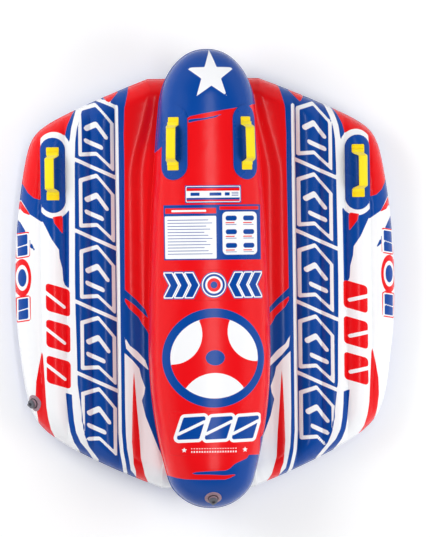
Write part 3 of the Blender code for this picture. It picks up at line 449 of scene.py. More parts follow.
def vinyl_surface(tree, principled, place, gloss=0.20, peel=0.07):
    """Glossy PVC sheet: slow patches of roughness, a fine orange peel and long shallow ripples."""
    patches = add_node(tree, "ShaderNodeTexNoise", {"Vector": place, "Scale": 7.0, "Detail": 4.0})
    rough = add_node(
        tree, "ShaderNodeMapRange",
        {"Value": patches.outputs["Fac"], "To Min": gloss - 0.04, "To Max": gloss + 0.07},
    )
    link(tree, rough.outputs["Result"], principled.inputs["Roughness"])
    fine = add_node(tree, "ShaderNodeTexNoise", {"Vector": place, "Scale": 420.0, "Detail": 2.0})
    slow = add_node(tree, "ShaderNodeTexNoise", {"Vector": place, "Scale": 16.0, "Detail": 2.0, "Distortion": 0.6})
    grain = add_node(tree, "ShaderNodeBump", {"Height": fine.outputs["Fac"], "Strength": peel, "Distance": 0.0004})
    ripple = add_node(
        tree, "ShaderNodeBump",
        {"Height": slow.outputs["Fac"], "Strength": 0.16, "Distance": 0.004, "Normal": grain.outputs["Normal"]},
    )
    link(tree, ripple.outputs["Normal"], principled.inputs["Normal"])
    principled.inputs["IOR"].default_value = 1.50
    principled.inputs["Specular IOR Level"].default_value = 0.26


RED, BLUE, WHITE = (0.85, 0.004, 0.008, 1), (0.0004, 0.062, 0.345, 1), (0.925, 0.935, 0.955, 1)


def mixed_colour(tree, share, first, second):
    """The first colour, going over to the second by the share."""
    colour_share, first_colour, second_colour, mixed_out = 0, 6, 7, 2
    inputs = {colour_share: share, first_colour: first, second_colour: second}
    return add_node(tree, "ShaderNodeMix", inputs, data_type="RGBA").outputs[mixed_out]


def colour_of(tree, place, base, shift=0.06):
    """The colour with slow patches a few per cent darker, as thick ink and plasticiser leave it."""
    cloud = add_node(tree, "ShaderNodeTexNoise", {"Vector": place, "Scale": 5.0, "Detail": 5.0})
    darker = tuple(c * (1 - shift) for c in base[:3]) + (1,)
    return mixed_colour(tree, cloud.outputs["Fac"], darker, base)


printed_vinyl, tree, glossy, place = new_material("printed_vinyl")
red_ink = add_node(tree, "ShaderNodeAttribute", attribute_name="red").outputs["Fac"]
blue_ink = add_node(tree, "ShaderNodeAttribute", attribute_name="blue").outputs["Fac"]
red_share = add_node(
    tree, "ShaderNodeMapRange", {"Value": red_ink, "From Min": -0.0010, "From Max": 0.0002}
).outputs["Result"]
blue_share = add_node(
    tree, "ShaderNodeMapRange", {"Value": blue_ink, "From Min": -0.0006, "From Max": 0.0006}
).outputs["Result"]
over_white = mixed_colour(tree, red_share, colour_of(tree, place, WHITE, 0.03), colour_of(tree, place, RED))
over_red = mixed_colour(tree, blue_share, over_white, colour_of(tree, place, BLUE, 0.10))
link(tree, over_red, glossy.inputs["Base Color"])
vinyl_surface(tree, glossy, place)

x, y = deck_plan(20, 14, 300)
z = np.maximum(SEAM_Z + deck_rise(x, y), SEAM_Z + 0.0003)
over = grid_mesh("deck_top_skin", np.stack([x, y, z], -1), layers=deck_print(x, y))
deck_top = add_piece("deck_top_skin", over, printed_vinyl, "hull", thick=SKIN)
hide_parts("deck_top_panel")


# ---------------------------------------------------------------- deck: lower skin, seam and inner sheets
# Plain blue PVC sheet, pressed flat where each lobe lies on the ground. It is heat welded to the upper
# skin in one seam round the edge, and to the flanged white sheets that stand inside under each crease.
def plain_vinyl(name, colour, gloss=0.26):
    """A material of one colour of glossy PVC sheet."""
    made, tree, principled, place = new_material(name)
    link(tree, colour_of(tree, place, colour), principled.inputs["Base Color"])
    vinyl_surface(tree, principled, place, gloss)
    return made


blue_vinyl = plain_vinyl("blue_vinyl", BLUE)
white_vinyl = plain_vinyl("white_vinyl", WHITE)

x, y = deck_plan(8, 8, 90)
z = np.minimum(np.clip(SEAM_Z - deck_rise(x, y, upper=False), 0.0, None), SEAM_Z - 0.0003)
under = grid_mesh("deck_bottom_skin", np.stack([x, y, z], -1))
under.flip_normals()
deck_bottom = add_piece("deck_bottom_skin", under, blue_vinyl, "hull", thick=SKIN)
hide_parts("deck_bottom_panel")


def seam_bead(path, height, outward, upward, steps=10):
    """Points of a closed welded bead: an ellipse carried along a closed path in plan."""
    ahead, back_one = np.roll(path, -1, axis=0), np.roll(path, 1, axis=0)
    along = ahead - back_one
    along /= np.maximum(np.hypot(along[:, 0], along[:, 1])[:, None], 1e-9)
    out = np.stack([along[:, 1], -along[:, 0]], 1)
    angle = np.linspace(0, 2 * math.pi, steps + 1)
    flat = path[:, None, :] + out[:, None, :] * (outward * np.cos(angle) + 0.0002)[None, :, None]
    rise = height + upward * np.sin(angle)[None, :] + np.zeros((len(path), 1))
    return np.concatenate([flat, rise[..., None]], -1)


SEAM_OUTWARD, SEAM_UPWARD = 0.0022, 0.0018
edge = np.concatenate([deck_front[::-1], deck_front[1:] * [-1, 1], deck_rear[::-1][1:] * [-1, 1], deck_rear[1:-1]])
keep = np.hypot(*(edge - np.roll(edge, -1, axis=0)).T) > 1e-5
edge = edge[keep][::-1]
points = seam_bead(edge, SEAM_Z, SEAM_OUTWARD, SEAM_UPWARD)
seam_mesh = grid_mesh("deck_seam", points, closed=True, layers=deck_print(points[..., 0], points[..., 1]))
deck_seam = add_piece("deck_seam", seam_mesh, printed_vinyl, "hull", crease=80)


def finish_node(name, material):
    """Gives a carried-over part its material."""
    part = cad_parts[name].data
    part.materials.clear()
    part.materials.append(material)


for number in range(1, LOBES + 2):
    finish_node(f"deck_baffle_{number:02d}", white_vinyl)


# ---------------------------------------------------------------- centre tube
# The raised second chamber along the middle: a printed upper skin over a red lower skin, welded at a
# seam round its waist. It tapers both ways, and its underside is pressed flat against the deck.
TUBE_NOSE_Y, TUBE_TAIL_Y, TUBE_SEAM_Z = 0.925, -0.925, 0.2894
TUBE_HALF_WIDTH, TUBE_WIDEST_Y, TAPER_FRONT, TAPER_REAR = 0.244, -0.290, 0.051, 0.27
NOSE_ROUND, TAIL_ROUND, NOSE_SLOPE, TAIL_SLOPE = 0.230, 0.120, 0.250, 0.200
TUBE_RISE, TUBE_DROP = 0.170, 0.098


def end_round(inset, length, power):
    """Share of full size near a rounded end: one less the remaining share to a power, rooted."""
    return (1 - (1 - np.clip(inset / length, 0, 1)) ** power) ** (1 / power)


def tube_half_width(y):
    """Half-width: a long taper each way from the widest place, times both rounded ends."""
    ahead, behind = np.clip(y - TUBE_WIDEST_Y, 0, None), np.clip(TUBE_WIDEST_Y - y, 0, None)
    body = TUBE_HALF_WIDTH - TAPER_FRONT * ahead**2 - TAPER_REAR * behind**2
    return body * end_round(TUBE_NOSE_Y - y, NOSE_ROUND, 2.2) * end_round(y - TUBE_TAIL_Y, TAIL_ROUND, 2.2)


def tube_fullness(y):
    """Share of full height along the tube, from its two sloping ends."""
    return end_round(TUBE_NOSE_Y - y, NOSE_SLOPE, 2) * end_round(y - TUBE_TAIL_Y, TAIL_SLOPE, 2)


def tube_height(x, y):
    """Height of the tube's upper skin: a rounded square arch across."""
    share = np.clip(np.abs(x) / np.maximum(tube_half_width(y), 1e-9), 0, 1)
    return TUBE_SEAM_Z + TUBE_RISE * tube_fullness(y) * (1 - share**2.4) ** (1 / 2.4)


def tube_plan(across, end_steps, middle_steps):
    """Plan points of one tube skin: rows crowd towards the two ends, columns towards the seam."""
    climb = 1 - np.cos(np.linspace(0, math.pi / 2, end_steps + 1))
    nose, tail = TUBE_NOSE_Y - NOSE_SLOPE * climb, TUBE_TAIL_Y + TAIL_SLOPE * climb
    rows = np.concatenate([tail, np.linspace(tail[-1], nose[-1], middle_steps + 1)[1:-1], nose[::-1]])
    columns = np.sin(np.linspace(-math.pi / 2, math.pi / 2, across + 1))
    x = columns[:, None] * tube_half_width(rows)[None, :]
    return x, np.broadcast_to(rows, x.shape)


NOSE_BLUE = [(-0.345, 1.212), (0.386, 1.212), (0.376, 0.708), (0.179, 0.701), (0.167, 0.695), (0.111, 0.687),
             (0.054, 0.678), (-0.024, 0.665), (-0.079, 0.654), (-0.100, 0.640), (-0.190, 0.533),
             (-0.223, 0.500), (-0.359, 0.420)]
NOSE_SPEAR = [(-0.087, 0.641), (-0.055, 0.644), (-0.024, 0.646), (0.014, 0.653), (0.059, 0.665), (0.022, 0.648),
              (-0.024, 0.639), (-0.063, 0.633), (-0.087, 0.627)]
TAIL_BLUE = [(-0.377, -0.769), (-0.176, -0.793), (-0.146, -0.802), (-0.115, -0.807), (-0.067, -0.809),
             (0.046, -0.810), (0.072, -0.801), (0.095, -0.788), (0.046, -0.793), (-0.019, -0.789),
             (-0.102, -0.788), (-0.071, -0.778), (-0.019, -0.775), (0.046, -0.773), (0.062, -0.767),
             (0.085, -0.747), (0.105, -0.738), (0.136, -0.725), (0.149, -0.705), (0.159, -0.676),
             (0.166, -0.663), (0.191, -0.647), (0.209, -0.631), (0.227, -0.595), (0.357, -0.554),
             (0.352, -1.062), (-0.379, -1.062)]


def star_corners(x, y, radius, waist=0.42):
    """Ten corners of a five-pointed star, one point forwards."""
    angle = math.pi / 2 + np.arange(10) * math.pi / 5
    reach = np.where(np.arange(10) % 2 == 0, radius, radius * waist)
    return np.stack([x + reach * np.cos(angle), y + reach * np.sin(angle)], 1)


def tube_print(x, y):
    """The tube's print: red, with a blue nose and tail, a white star and a plain three-spoked wheel."""
    ink = Print(x.shape)
    ink.lay("red", np.full(x.shape, 0.5))
    ink.lay("blue", polygon_inside(x, y, NOSE_BLUE))
    ink.lay("blue", polygon_inside(x, y, NOSE_SPEAR))
    ink.lay("blue", polygon_inside(x, y, TAIL_BLUE))
    ink.lay("white", polygon_inside(x, y, star_corners(0.008, 0.818, 0.104, 0.40)))
    ink.lay("blue", disc_inside(x, y, (0.006, -0.320), 0.207, 0.200))
    hole = disc_inside(x, y, (0.008, -0.320), 0.177, 0.163)
    ink.lay("red", hole)
    for centre, across in (((-0.163, -0.223), 0.122), ((0.181, -0.215), 0.120), ((0.008, -0.524), 0.144)):
        ink.lay("white", np.minimum(hole, disc_inside(x, y, centre, across)))
    ink.lay("blue", disc_inside(x, y, (0.010, -0.319), 0.0390, 0.0310))
    return ink.layers()


x, y = tube_plan(136, 32, 260)
z = np.maximum(tube_height(x, y), TUBE_SEAM_Z + 0.0003)
over = grid_mesh("centre_tube_top_skin", np.stack([x, y, z], -1), layers=tube_print(x, y))
tube_top = add_piece("centre_tube_top_skin", over, printed_vinyl, "hull", thick=SKIN)
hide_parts("centre_tube_top_panel")

x, y = tube_plan(48, 16, 90)
share = np.clip(np.abs(x) / np.maximum(tube_half_width(y), 1e-9), 0, 1)
z = TUBE_SEAM_Z - np.clip(1.5 * TUBE_DROP * tube_fullness(y) * np.sqrt(1 - share**2), 0.0003, TUBE_DROP)
under = grid_mesh("centre_tube_bottom_skin", np.stack([x, y, z], -1), layers=tube_print(x, y))
under.flip_normals()
tube_bottom = add_piece("centre_tube_bottom_skin", under, printed_vinyl, "hull", thick=SKIN)
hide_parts("centre_tube_bottom_panel")

tail_rows = TUBE_TAIL_Y + TAIL_ROUND * (1 - np.cos(np.linspace(0, math.pi / 2, 40)))
nose_rows = TUBE_NOSE_Y - NOSE_ROUND * (1 - np.cos(np.linspace(0, math.pi / 2, 50)))
rows = np.sort(np.concatenate([tail_rows, nose_rows, np.linspace(-0.80, 0.69, 120)]))
waist = np.stack([tube_half_width(rows), rows], 1)
waist = np.concatenate([waist, (waist * [-1, 1])[::-1][1:-1]])
points = seam_bead(waist, TUBE_SEAM_Z, SEAM_OUTWARD, SEAM_UPWARD)
seam_mesh = grid_mesh("centre_tube_seam", points, closed=True, layers=tube_print(points[..., 0], points[..., 1]))
tube_seam = add_piece("centre_tube_seam", seam_mesh, printed_vinyl, "hull", crease=80)


# ---------------------------------------------------------------- joining sheet
# White PVC sheet that carries the weld between tube and deck. It shows as a small loose flap each
# side of the tail, where it follows the deck down over its rear edge.
JOINING_Z, JOINING_THICK, FLAP_FOLD = 0.1901, 0.0005, 0.0030
rows = np.concatenate([np.linspace(-0.8462, -0.70, 40), np.linspace(-0.69, 0.765, 60)])
share = np.linspace(-1, 1, 61)
half = np.interp(rows, [-0.847, -0.78, -0.60, 0.765], [0.196, 0.194, 0.150, 0.140])
x = share[:, None] * half[None, :]
y = np.broadcast_to(rows, x.shape)
deck_z = SEAM_Z + deck_rise(x, y)
ease = np.clip((y + 0.80) / 0.06, 0, 1)
fold = FLAP_FOLD * np.sin(x * 95 + 40 * (y + 0.85)) * (1 - ease)
z = np.minimum(JOINING_Z, deck_z * (1 - ease) + JOINING_Z * ease + 0.0035 * (1 - ease) + fold + 0.001)
z = np.maximum(z, np.where(ease < 1, deck_z + 0.0012, JOINING_Z - 0.0006))
z = np.minimum(z, JOINING_Z + 0.0004)
sheet_mesh = grid_mesh("joining_sheet", np.stack([x, y, z], -1))
joining = add_piece("joining_sheet", sheet_mesh, white_vinyl, "hull", thick=JOINING_THICK)
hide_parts("joining_panel")


# ---------------------------------------------------------------- printed plates on the tube
# Thin printed films bonded to the red skin: two ruled plates near the handles, and two marks. The
# real ones carry writing; these have plain bars, boxes and stars in its place.
def film(name, low, high, spacing, draw):
    """A thin film over the tube between two corners in plan, printed by draw on its own fine grid."""
    columns = np.linspace(low[0], high[0], int((high[0] - low[0]) / spacing) + 1)
    rows = np.linspace(low[1], high[1], int((high[1] - low[1]) / spacing) + 1)
    x, y = np.meshgrid(columns, rows, indexing="ij")
    z = tube_height(x, y) + 0.0007
    film_mesh = grid_mesh(name, np.stack([x, y, z], -1), layers=draw(x, y))
    add_piece(name, film_mesh, printed_vinyl, "hull", thick=0.0003)


def box_inside(x, y, low, high, corner=0.0):
    """Signed distance to a rectangle with rounded corners."""
    dx = np.abs(x - (low[0] + high[0]) / 2) - (high[0] - low[0]) / 2 + corner
    dy = np.abs(y - (low[1] + high[1]) / 2) - (high[1] - low[1]) / 2 + corner
    return corner - np.hypot(np.clip(dx, 0, None), np.clip(dy, 0, None)) - np.minimum(np.maximum(dx, dy), 0)


def small_plate(x, y):
    """Blue-edged white plate with a red head band, a row of blue blocks and two lines."""
    ink = Print(x.shape)
    ink.lay("blue", np.full(x.shape, 0.5))
    ink.lay("white", box_inside(x, y, (-0.101, 0.307), (0.120, 0.372), 0.006))
    ink.lay("blue", box_inside(x, y, (-0.098, 0.310), (0.117, 0.369), 0.004))
    ink.lay("red", box_inside(x, y, (-0.098, 0.353), (0.117, 0.364)))
    ink.lay("white", box_inside(x, y, (-0.098, 0.325), (0.117, 0.353)))
    ink.lay("red", box_inside(x, y, (-0.098, 0.311), (0.117, 0.317)))
    for middle, half in ((-0.064, 0.018), (0.018, 0.024), (0.066, 0.010)):
        ink.lay("blue", box_inside(x, y, (middle - half, 0.333), (middle + half, 0.346), 0.002))
    for row in range(3):
        ink.lay("blue", box_inside(x, y, (0.084, 0.332 + 0.006 * row), (0.112, 0.3345 + 0.006 * row)))
    return ink.layers()


def large_plate(x, y):
    """A ruled white panel under a red head, beside a blue panel with a white rounded window."""
    ink = Print(x.shape)
    ink.lay("blue", np.full(x.shape, 0.5))
    ink.lay("red", box_inside(x, y, (-0.182, 0.262), (0.020, 0.284)))
    ink.lay("white", box_inside(x, y, (-0.184, 0.080), (0.020, 0.252), 0.004))
    ink.lay("white", box_inside(x, y, (-0.158, 0.268), (-0.020, 0.277), 0.002))
    for row in range(12):
        right_end = 0.004 - 0.040 * ((row * 7) % 5) / 5
        ink.lay("blue", box_inside(x, y, (-0.174, 0.098 + 0.0124 * row), (right_end, 0.1008 + 0.0124 * row)))
    ink.lay("red", box_inside(x, y, (0.034, 0.276), (0.196, 0.290)))
    ink.lay("white", box_inside(x, y, (0.045, 0.095), (0.188, 0.268), 0.018))
    for row in range(3):
        for column in range(2):
            left, low = 0.058 + 0.072 * column, 0.222 - 0.055 * row
            ink.lay("blue", box_inside(x, y, (left, low + 0.010), (left + 0.046, low + 0.030), 0.009))
            ink.lay("red", box_inside(x, y, (left, low), (left + 0.036, low + 0.0035)))
            ink.lay("blue", box_inside(x, y, (left, low - 0.007), (left + 0.044, low - 0.0045)))
    return ink.layers()


def arrow_mark(x, y):
    """Blue arrowheads with white edges on red, three a side, pointing in at a ringed blue spot."""
    ink = Print(x.shape)
    ink.lay("red", np.full(x.shape, 0.5))
    spot_x, spot_y = 0.008, -0.026
    spread = np.abs(x - spot_x)
    arrowhead = [(0.0, -0.026), (0.024, 0.022), (0.052, 0.022), (0.028, -0.026), (0.052, -0.074), (0.024, -0.074)]
    shapes = [polygon_inside(spread - tip, y, arrowhead) for tip in (0.062, 0.103, 0.144)]
    shapes.append(disc_inside(x, y, (spot_x, spot_y), 0.044))
    whole = np.maximum.reduce(shapes)
    ink.lay("blue", whole + 0.0085)
    ink.lay("white", whole + 0.0050)
    ink.lay("blue", whole)
    for colour, across in (("white", 0.035), ("red", 0.027), ("blue", 0.014)):
        ink.lay(colour, disc_inside(x, y, (spot_x, spot_y), across))
    return ink.layers()


def tail_mark(x, y):
    """Three slanting blue blocks in one white edge on red, over two small stars and a dotted line."""
    ink = Print(x.shape)
    ink.lay("red", np.full(x.shape, 0.5))
    block = [(0.012, -0.640), (0.036, -0.566), (0.110, -0.562), (0.086, -0.637)]
    lefts = (-0.150, -0.040, 0.070)
    whole = np.maximum.reduce([polygon_inside(x - left, y, block) + 0.008 for left in lefts])
    ink.lay("white", whole + 0.013)
    ink.lay("blue", whole)
    for left in lefts:
        cut = line_inside(x - left, y, [(0.010, -0.625), (0.112, -0.576)], 0.0060)
        ink.lay("white", np.minimum(cut, whole + 0.004))
    for left in (-0.118, 0.128):
        ink.lay("white", polygon_inside(x, y, star_corners(left, -0.690, 0.013)))
    for row, half in ((-0.684, 0.0022), (-0.697, 0.0040)):
        inside = np.minimum(half - np.abs(y - row), 0.0030 - np.abs((x + 0.094) % 0.0105 - 0.00525))
        ink.lay("white", np.minimum(inside, 0.095 - np.abs(x - 0.004)))
    return ink.layers()


film("printed_plate_small", (-0.104, 0.304), (0.123, 0.375), 0.0016, small_plate)
film("printed_plate_large", (-0.188, 0.075), (0.204, 0.297), 0.0019, large_plate)
film("printed_arrow_mark", (-0.192, -0.088), (0.208, 0.036), 0.0024, arrow_mark)
film("printed_tail_mark", (-0.176, -0.712), (0.196, -0.535), 0.0022, tail_mark)


# ---------------------------------------------------------------- grab handles
# Each is a 38 mm woven strap round a flat foam core, its flared ends held under two welded tabs on an
# oval reinforcing pad. The grip swings on its two leads; pad and tabs are welded to the skin.
PAD_LIFT, PAD_THICK, TAB_LIFT, TAB_THICK = 0.0016, 0.0010, 0.0030, 0.0018
FOOT_HEIGHT, STRAP_HEIGHT, STRAP_THICK, GRIP_END = 0.0069, 0.050, 0.0024, 0.059
TAB_SPACING, TAB_WIDTH, TAB_LENGTH = 0.090, 0.050, 0.034


def over_skin(surface, origin, axes, across, along, lift):
    """Points over a skin: from the frame's flat plane along its normal to the skin, then off by lift.
    The place on the normal is found by halving a span of 90 mm."""
    side, forward, normal = axes
    flat = origin + across[..., None] * side + along[..., None] * forward
    low, high = np.full(across.shape, -0.06), np.full(across.shape, 0.03)
    for _ in range(24):
        middle = (low + high) / 2
        spot = flat + middle[..., None] * normal
        outside = spot[..., 2] > surface(spot[..., 0], spot[..., 1])
        high, low = np.where(outside, middle, high), np.where(outside, low, middle)
    return flat + (high + lift)[..., None] * normal


def round_oblong(half_width, half_length, corner, across, along):
    """Flat grid of an oblong with rounded corners, each row narrowed near the two ends."""
    bend = corner * (1 - np.cos(np.linspace(0, math.pi / 2, 7)))
    low = -half_length + bend
    rows = np.concatenate([low, np.linspace(low[-1], -low[-1], along + 1)[1:-1], -low[::-1]])
    room = np.clip((half_length - np.abs(rows)) / corner, 0, 1)
    width = half_width - corner + corner * np.sqrt(1 - (1 - room) ** 2)
    return np.linspace(-1, 1, across + 1)[:, None] * width[None, :], np.tile(rows, (across + 1, 1))


def deck_surface(x, y):
    """Height of the deck's upper skin."""
    return SEAM_Z + deck_rise(x, y)


def crossed_waves(tree, spot, bands):
    """The product of two sets of waves, each given by its direction, scale and unevenness."""
    both = {}
    for number, (way, scale, uneven) in enumerate(bands):
        inputs = {"Vector": spot, "Scale": scale, "Distortion": uneven}
        both[number] = add_node(tree, "ShaderNodeTexWave", inputs, bands_direction=way).outputs["Fac"]
    return add_node(tree, "ShaderNodeMath", both, operation="MULTIPLY")


def woven(name, colour, dark):
    """Flat-woven polyester webbing: ribs across and fine yarns along, from the strap's own lengths."""
    made, tree, principled, place = new_material(name)
    u = add_node(tree, "ShaderNodeAttribute", attribute_name="along").outputs["Fac"]
    v = add_node(tree, "ShaderNodeAttribute", attribute_name="across").outputs["Fac"]
    spot = add_node(tree, "ShaderNodeCombineXYZ", {"X": u, "Y": v}).outputs["Vector"]
    both = crossed_waves(tree, spot, (("X", 95.0, 0.6), ("Y", 150.0, 0.8)))
    link(tree, mixed_colour(tree, both.outputs["Value"], dark, colour), principled.inputs["Base Color"])
    bump = add_node(tree, "ShaderNodeBump", {"Height": both.outputs["Value"], "Strength": 0.5, "Distance": 0.0006})
    link(tree, bump.outputs["Normal"], principled.inputs["Normal"])
    principled.inputs["Roughness"].default_value = 0.62
    principled.inputs["Sheen Weight"].default_value = 0.25
    return made


yellow_webbing = woven("yellow_webbing", (1.0, 0.87, 0.002, 1), (0.96, 0.76, 0.002, 1))
tab_vinyl = plain_vinyl("orange_vinyl", (0.98, 0.72, 0.003, 1), 0.40)
stitch_thread = plain_vinyl("stitch_thread", (0.78, 0.40, 0.01, 1), 0.5)
foam, tree, principled, place = new_material("foam")
cells = add_node(tree, "ShaderNodeTexVoronoi", {"Vector": place, "Scale": 900.0})
shade = add_node(tree, "ShaderNodeMapRange", {"Value": cells.outputs["Distance"], "To Min": 0.03, "To Max": 0.075})
link(tree, shade.outputs["Result"], principled.inputs["Base Color"])
bump = add_node(tree, "ShaderNodeBump", {"Height": cells.outputs["Distance"], "Strength": 0.4, "Distance": 0.0005})
link(tree, bump.outputs["Normal"], principled.inputs["Normal"])
principled.inputs["Roughness"].default_value = 0.9


def strap_points(origin, axes, run, lean, steps=8):
    """Strap surface from its middle line: run gives the distance fore or aft and the height; the
    strap leans further from the normal, narrows and crowns slightly across as it rises."""
    side, forward, normal = axes
    b, n = run
    raised = np.clip((n - FOOT_HEIGHT) / (STRAP_HEIGHT - FOOT_HEIGHT), 0, 1)
    angle = math.radians(lean) * raised
    width = 0.050 - 0.012 * raised**0.7
    share = np.linspace(-1, 1, steps + 1)[:, None]
    crown = 0.0030 * raised[None, :] * (1 - share**2)
    up = np.cos(angle)[:, None] * normal + np.sin(angle)[:, None] * side
    out = np.cos(angle)[:, None] * side - np.sin(angle)[:, None] * normal
    points = origin + b[None, :, None] * forward + (n + crown - 0.002 * raised)[..., None] * up[None]
    across = share * width[None, :] / 2
    points = points + across[..., None] * out[None]
    return points, {"along": np.broadcast_to(b + 2 * n * np.sign(b), across.shape), "across": across}


def face_outwards(mesh):
    """Turns the faces of a closed mesh outwards."""
    bm = bmesh.new()
    bm.from_mesh(mesh)
    bmesh.ops.recalc_face_normals(bm, faces=bm.faces)
    bm.to_mesh(mesh)
    bm.free()


def soften_rim(piece, width):
    """Rounds the rim of a thick sheet."""
    rim = piece.modifiers.new("rim", "BEVEL")
    rim.width, rim.segments, rim.limit_method, rim.angle_limit = width, 2, "ANGLE", math.radians(50)


def stitches(name, surface, origin, axes, middle, body):
    """A box of small sewn stitches on a tab, each a short six-sided bead lying on it."""
    rows = []
    for a in (-0.0185, 0.0185):
        rows += [(a, middle + s, 0.0, 1.0) for s in np.linspace(-0.0105, 0.0105, 6)]
    for b in (-0.0118, 0.0118):
        rows += [(s, middle + b, 1.0, 0.0) for s in np.linspace(-0.0155, 0.0155, 8)]
    rows = np.array(rows)
    side, forward, normal = axes
    base = over_skin(surface, origin, axes, rows[:, 0], rows[:, 1], TAB_LIFT + TAB_THICK + 0.0001)
    along = rows[:, 2:3] * side + rows[:, 3:4] * forward
    over = np.cross(along, normal)
    angle = np.arange(6) * math.pi / 3
    ring = np.stack([np.cos(angle), np.sin(angle)], 1)
    ends = []
    for reach, size in ((-0.0016, 0.15), (-0.0011, 1.0), (0.0011, 1.0), (0.0016, 0.15)):
        ends.append(base[:, None] + along[:, None] * reach + 0.00042 * size
                    * (ring[:, 0, None] * over[:, None] + ring[:, 1, None] * normal))
    points = np.stack(ends, 1)
    count = len(rows)
    start = (np.arange(count) * 24)[:, None, None]
    level, spoke = np.meshgrid(np.arange(3), np.arange(6), indexing="ij")
    following = (spoke + 1) % 6
    low, high = level * 6, level * 6 + 6
    faces = np.stack([low + spoke, low + following, high + following, high + spoke], -1)
    faces = (start[..., None] + faces[None]).reshape(-1, 4)
    caps = np.stack([np.arange(5, -1, -1), np.arange(18, 24)])
    caps = (np.arange(count)[:, None, None] * 24 + caps).reshape(-1, 6)
    mesh = bpy.data.meshes.new(name)
    mesh.from_pydata(points.reshape(-1, 3).tolist(), [], faces.tolist() + caps.tolist())
    face_outwards(mesh)
    add_piece(name, mesh, stitch_thread, body, crease=60)


def grab_handle(name, surface, origin, axes, pad_y, pad_half_width, lean):
    """One handle in its own frame on the skin: pad, two tabs with their stitching, leads and grip."""
    origin, axes = np.array(origin), np.array(axes)
    shift = np.array([0.0, pad_y, 0.0])
    a, b = round_oblong(pad_half_width, 0.151, pad_half_width * 0.98, 20, 40)
    pad_origin = origin + shift
    pad_origin[2] = surface(pad_origin[0], pad_origin[1])
    points = over_skin(surface, pad_origin, axes, a, b, PAD_LIFT)
    sheet = f"{name}_pad_sheet"
    pad = add_piece(sheet, grid_mesh(sheet, points), blue_vinyl, "hull", thick=PAD_THICK, outward=1)
    soften_rim(pad, 0.0005)
    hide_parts(f"{name}_pad")

    for end, sign in (("front", 1), ("rear", -1)):
        a, b = round_oblong(TAB_WIDTH / 2, TAB_LENGTH / 2, 0.004, 14, 8)
        b = b + sign * TAB_SPACING
        hump = np.clip(1 - (np.abs(a) / 0.027) ** 6, 0, 1)
        hump = hump * np.clip(1 - np.abs(b - sign * TAB_SPACING) / 0.024, 0, 1)
        points = over_skin(surface, origin, axes, a, b, TAB_LIFT + 0.0009 * hump)
        sheet = f"{name}_{end}_tab_sheet"
        tab = add_piece(sheet, grid_mesh(sheet, points), tab_vinyl, "hull", thick=TAB_THICK, outward=1)
        soften_rim(tab, 0.0006)
        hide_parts(f"{name}_{end}_tab")
        stitches(f"{name}_{end}_stitching", surface, origin, axes, sign * TAB_SPACING, "hull")

        climb = np.linspace(0, 1, 22)
        foot = TAB_SPACING - TAB_LENGTH * 0.38
        b = np.concatenate([[foot + 0.010, foot + 0.004], foot + (GRIP_END - foot) * climb])
        rise = (STRAP_HEIGHT - FOOT_HEIGHT) * (1 - np.cos(math.pi * climb)) / 2
        n = FOOT_HEIGHT + np.concatenate([[0, 0], rise])
        points, layers = strap_points(origin, axes, (sign * b, n), lean)
        if sign > 0:
            points, layers = points[:, ::-1], {k: v[:, ::-1] for k, v in layers.items()}
        lead = add_piece(f"{name}_{end}_lead", grid_mesh(f"{name}_{end}_lead", points, layers=layers),
                         yellow_webbing, None, crease=60, thick=STRAP_THICK, outward=0)
        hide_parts(f"{name}_strap")
        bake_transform(lead)

    b = np.linspace(-GRIP_END, GRIP_END, 30)
    points, layers = strap_points(origin, axes, (b, np.full(30, STRAP_HEIGHT)), lean)
    grip = add_piece(f"{name}_grip_strap", grid_mesh(f"{name}_grip_strap", points, layers=layers),
                     yellow_webbing, f"{name}_grip", crease=60, thick=STRAP_THICK, outward=0)
    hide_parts(f"{name}_strap")

    tilt = math.radians(lean)
    up = math.cos(tilt) * axes[2] + math.sin(tilt) * axes[0]
    out = math.cos(tilt) * axes[0] - math.sin(tilt) * axes[2]
    angle = np.linspace(0, 2 * math.pi, 33)
    power = 0.55
    across = 0.0165 * np.sign(np.cos(angle)) * np.abs(np.cos(angle)) ** power
    rise = 0.0048 * np.sign(np.sin(angle)) * np.abs(np.sin(angle)) ** power
    half = GRIP_END - 0.002
    ease = 0.004 * (1 - np.cos(np.linspace(0, math.pi / 2, 5)))
    rows = np.concatenate([[-half], -half + ease, np.linspace(0.004 - half, half - 0.004, 12)[1:-1],
                           (half - ease)[::-1], [half]])
    size = np.concatenate([[0.0], 0.75 + 0.25 * np.sin(np.linspace(0, math.pi / 2, 5)), np.ones(10),
                           (0.75 + 0.25 * np.sin(np.linspace(0, math.pi / 2, 5)))[::-1], [0.0]])
    centre = origin + (STRAP_HEIGHT - 0.0082) * up
    points = (centre + rows[None, :, None] * axes[1] + (across[:, None] * size)[..., None] * out
              + (rise[:, None] * size)[..., None] * up)
    core_mesh = grid_mesh(f"{name}_foam_core", points)
    face_outwards(core_mesh)
    core = add_piece(f"{name}_foam_core", core_mesh, foam, f"{name}_grip", crease=60)
    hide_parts(f"{name}_grip_core")


for side_name, sign in (("left", -1), ("right", 1)):
    flat_axes = ((1, 0, 0), (0, 1, 0), (0, 0, 1))
    tube_axes = ((0.82333, 0, -sign * 0.56756), (-sign * 0.01924, 0.99943, -0.02791),
                 (sign * 0.56723, 0.0339, 0.82286))
    grab_handle(f"{side_name}_outer", deck_surface, (sign * 0.62031, 0.4305, 0.189), flat_axes,
                pad_y=-0.0055, pad_half_width=0.0487, lean=sign * 20)
    grab_handle(f"{side_name}_centre", tube_height, (sign * 0.1465, 0.5440, 0.42404), tube_axes,
                pad_y=0.0045, pad_half_width=0.060, lean=-sign * 17)


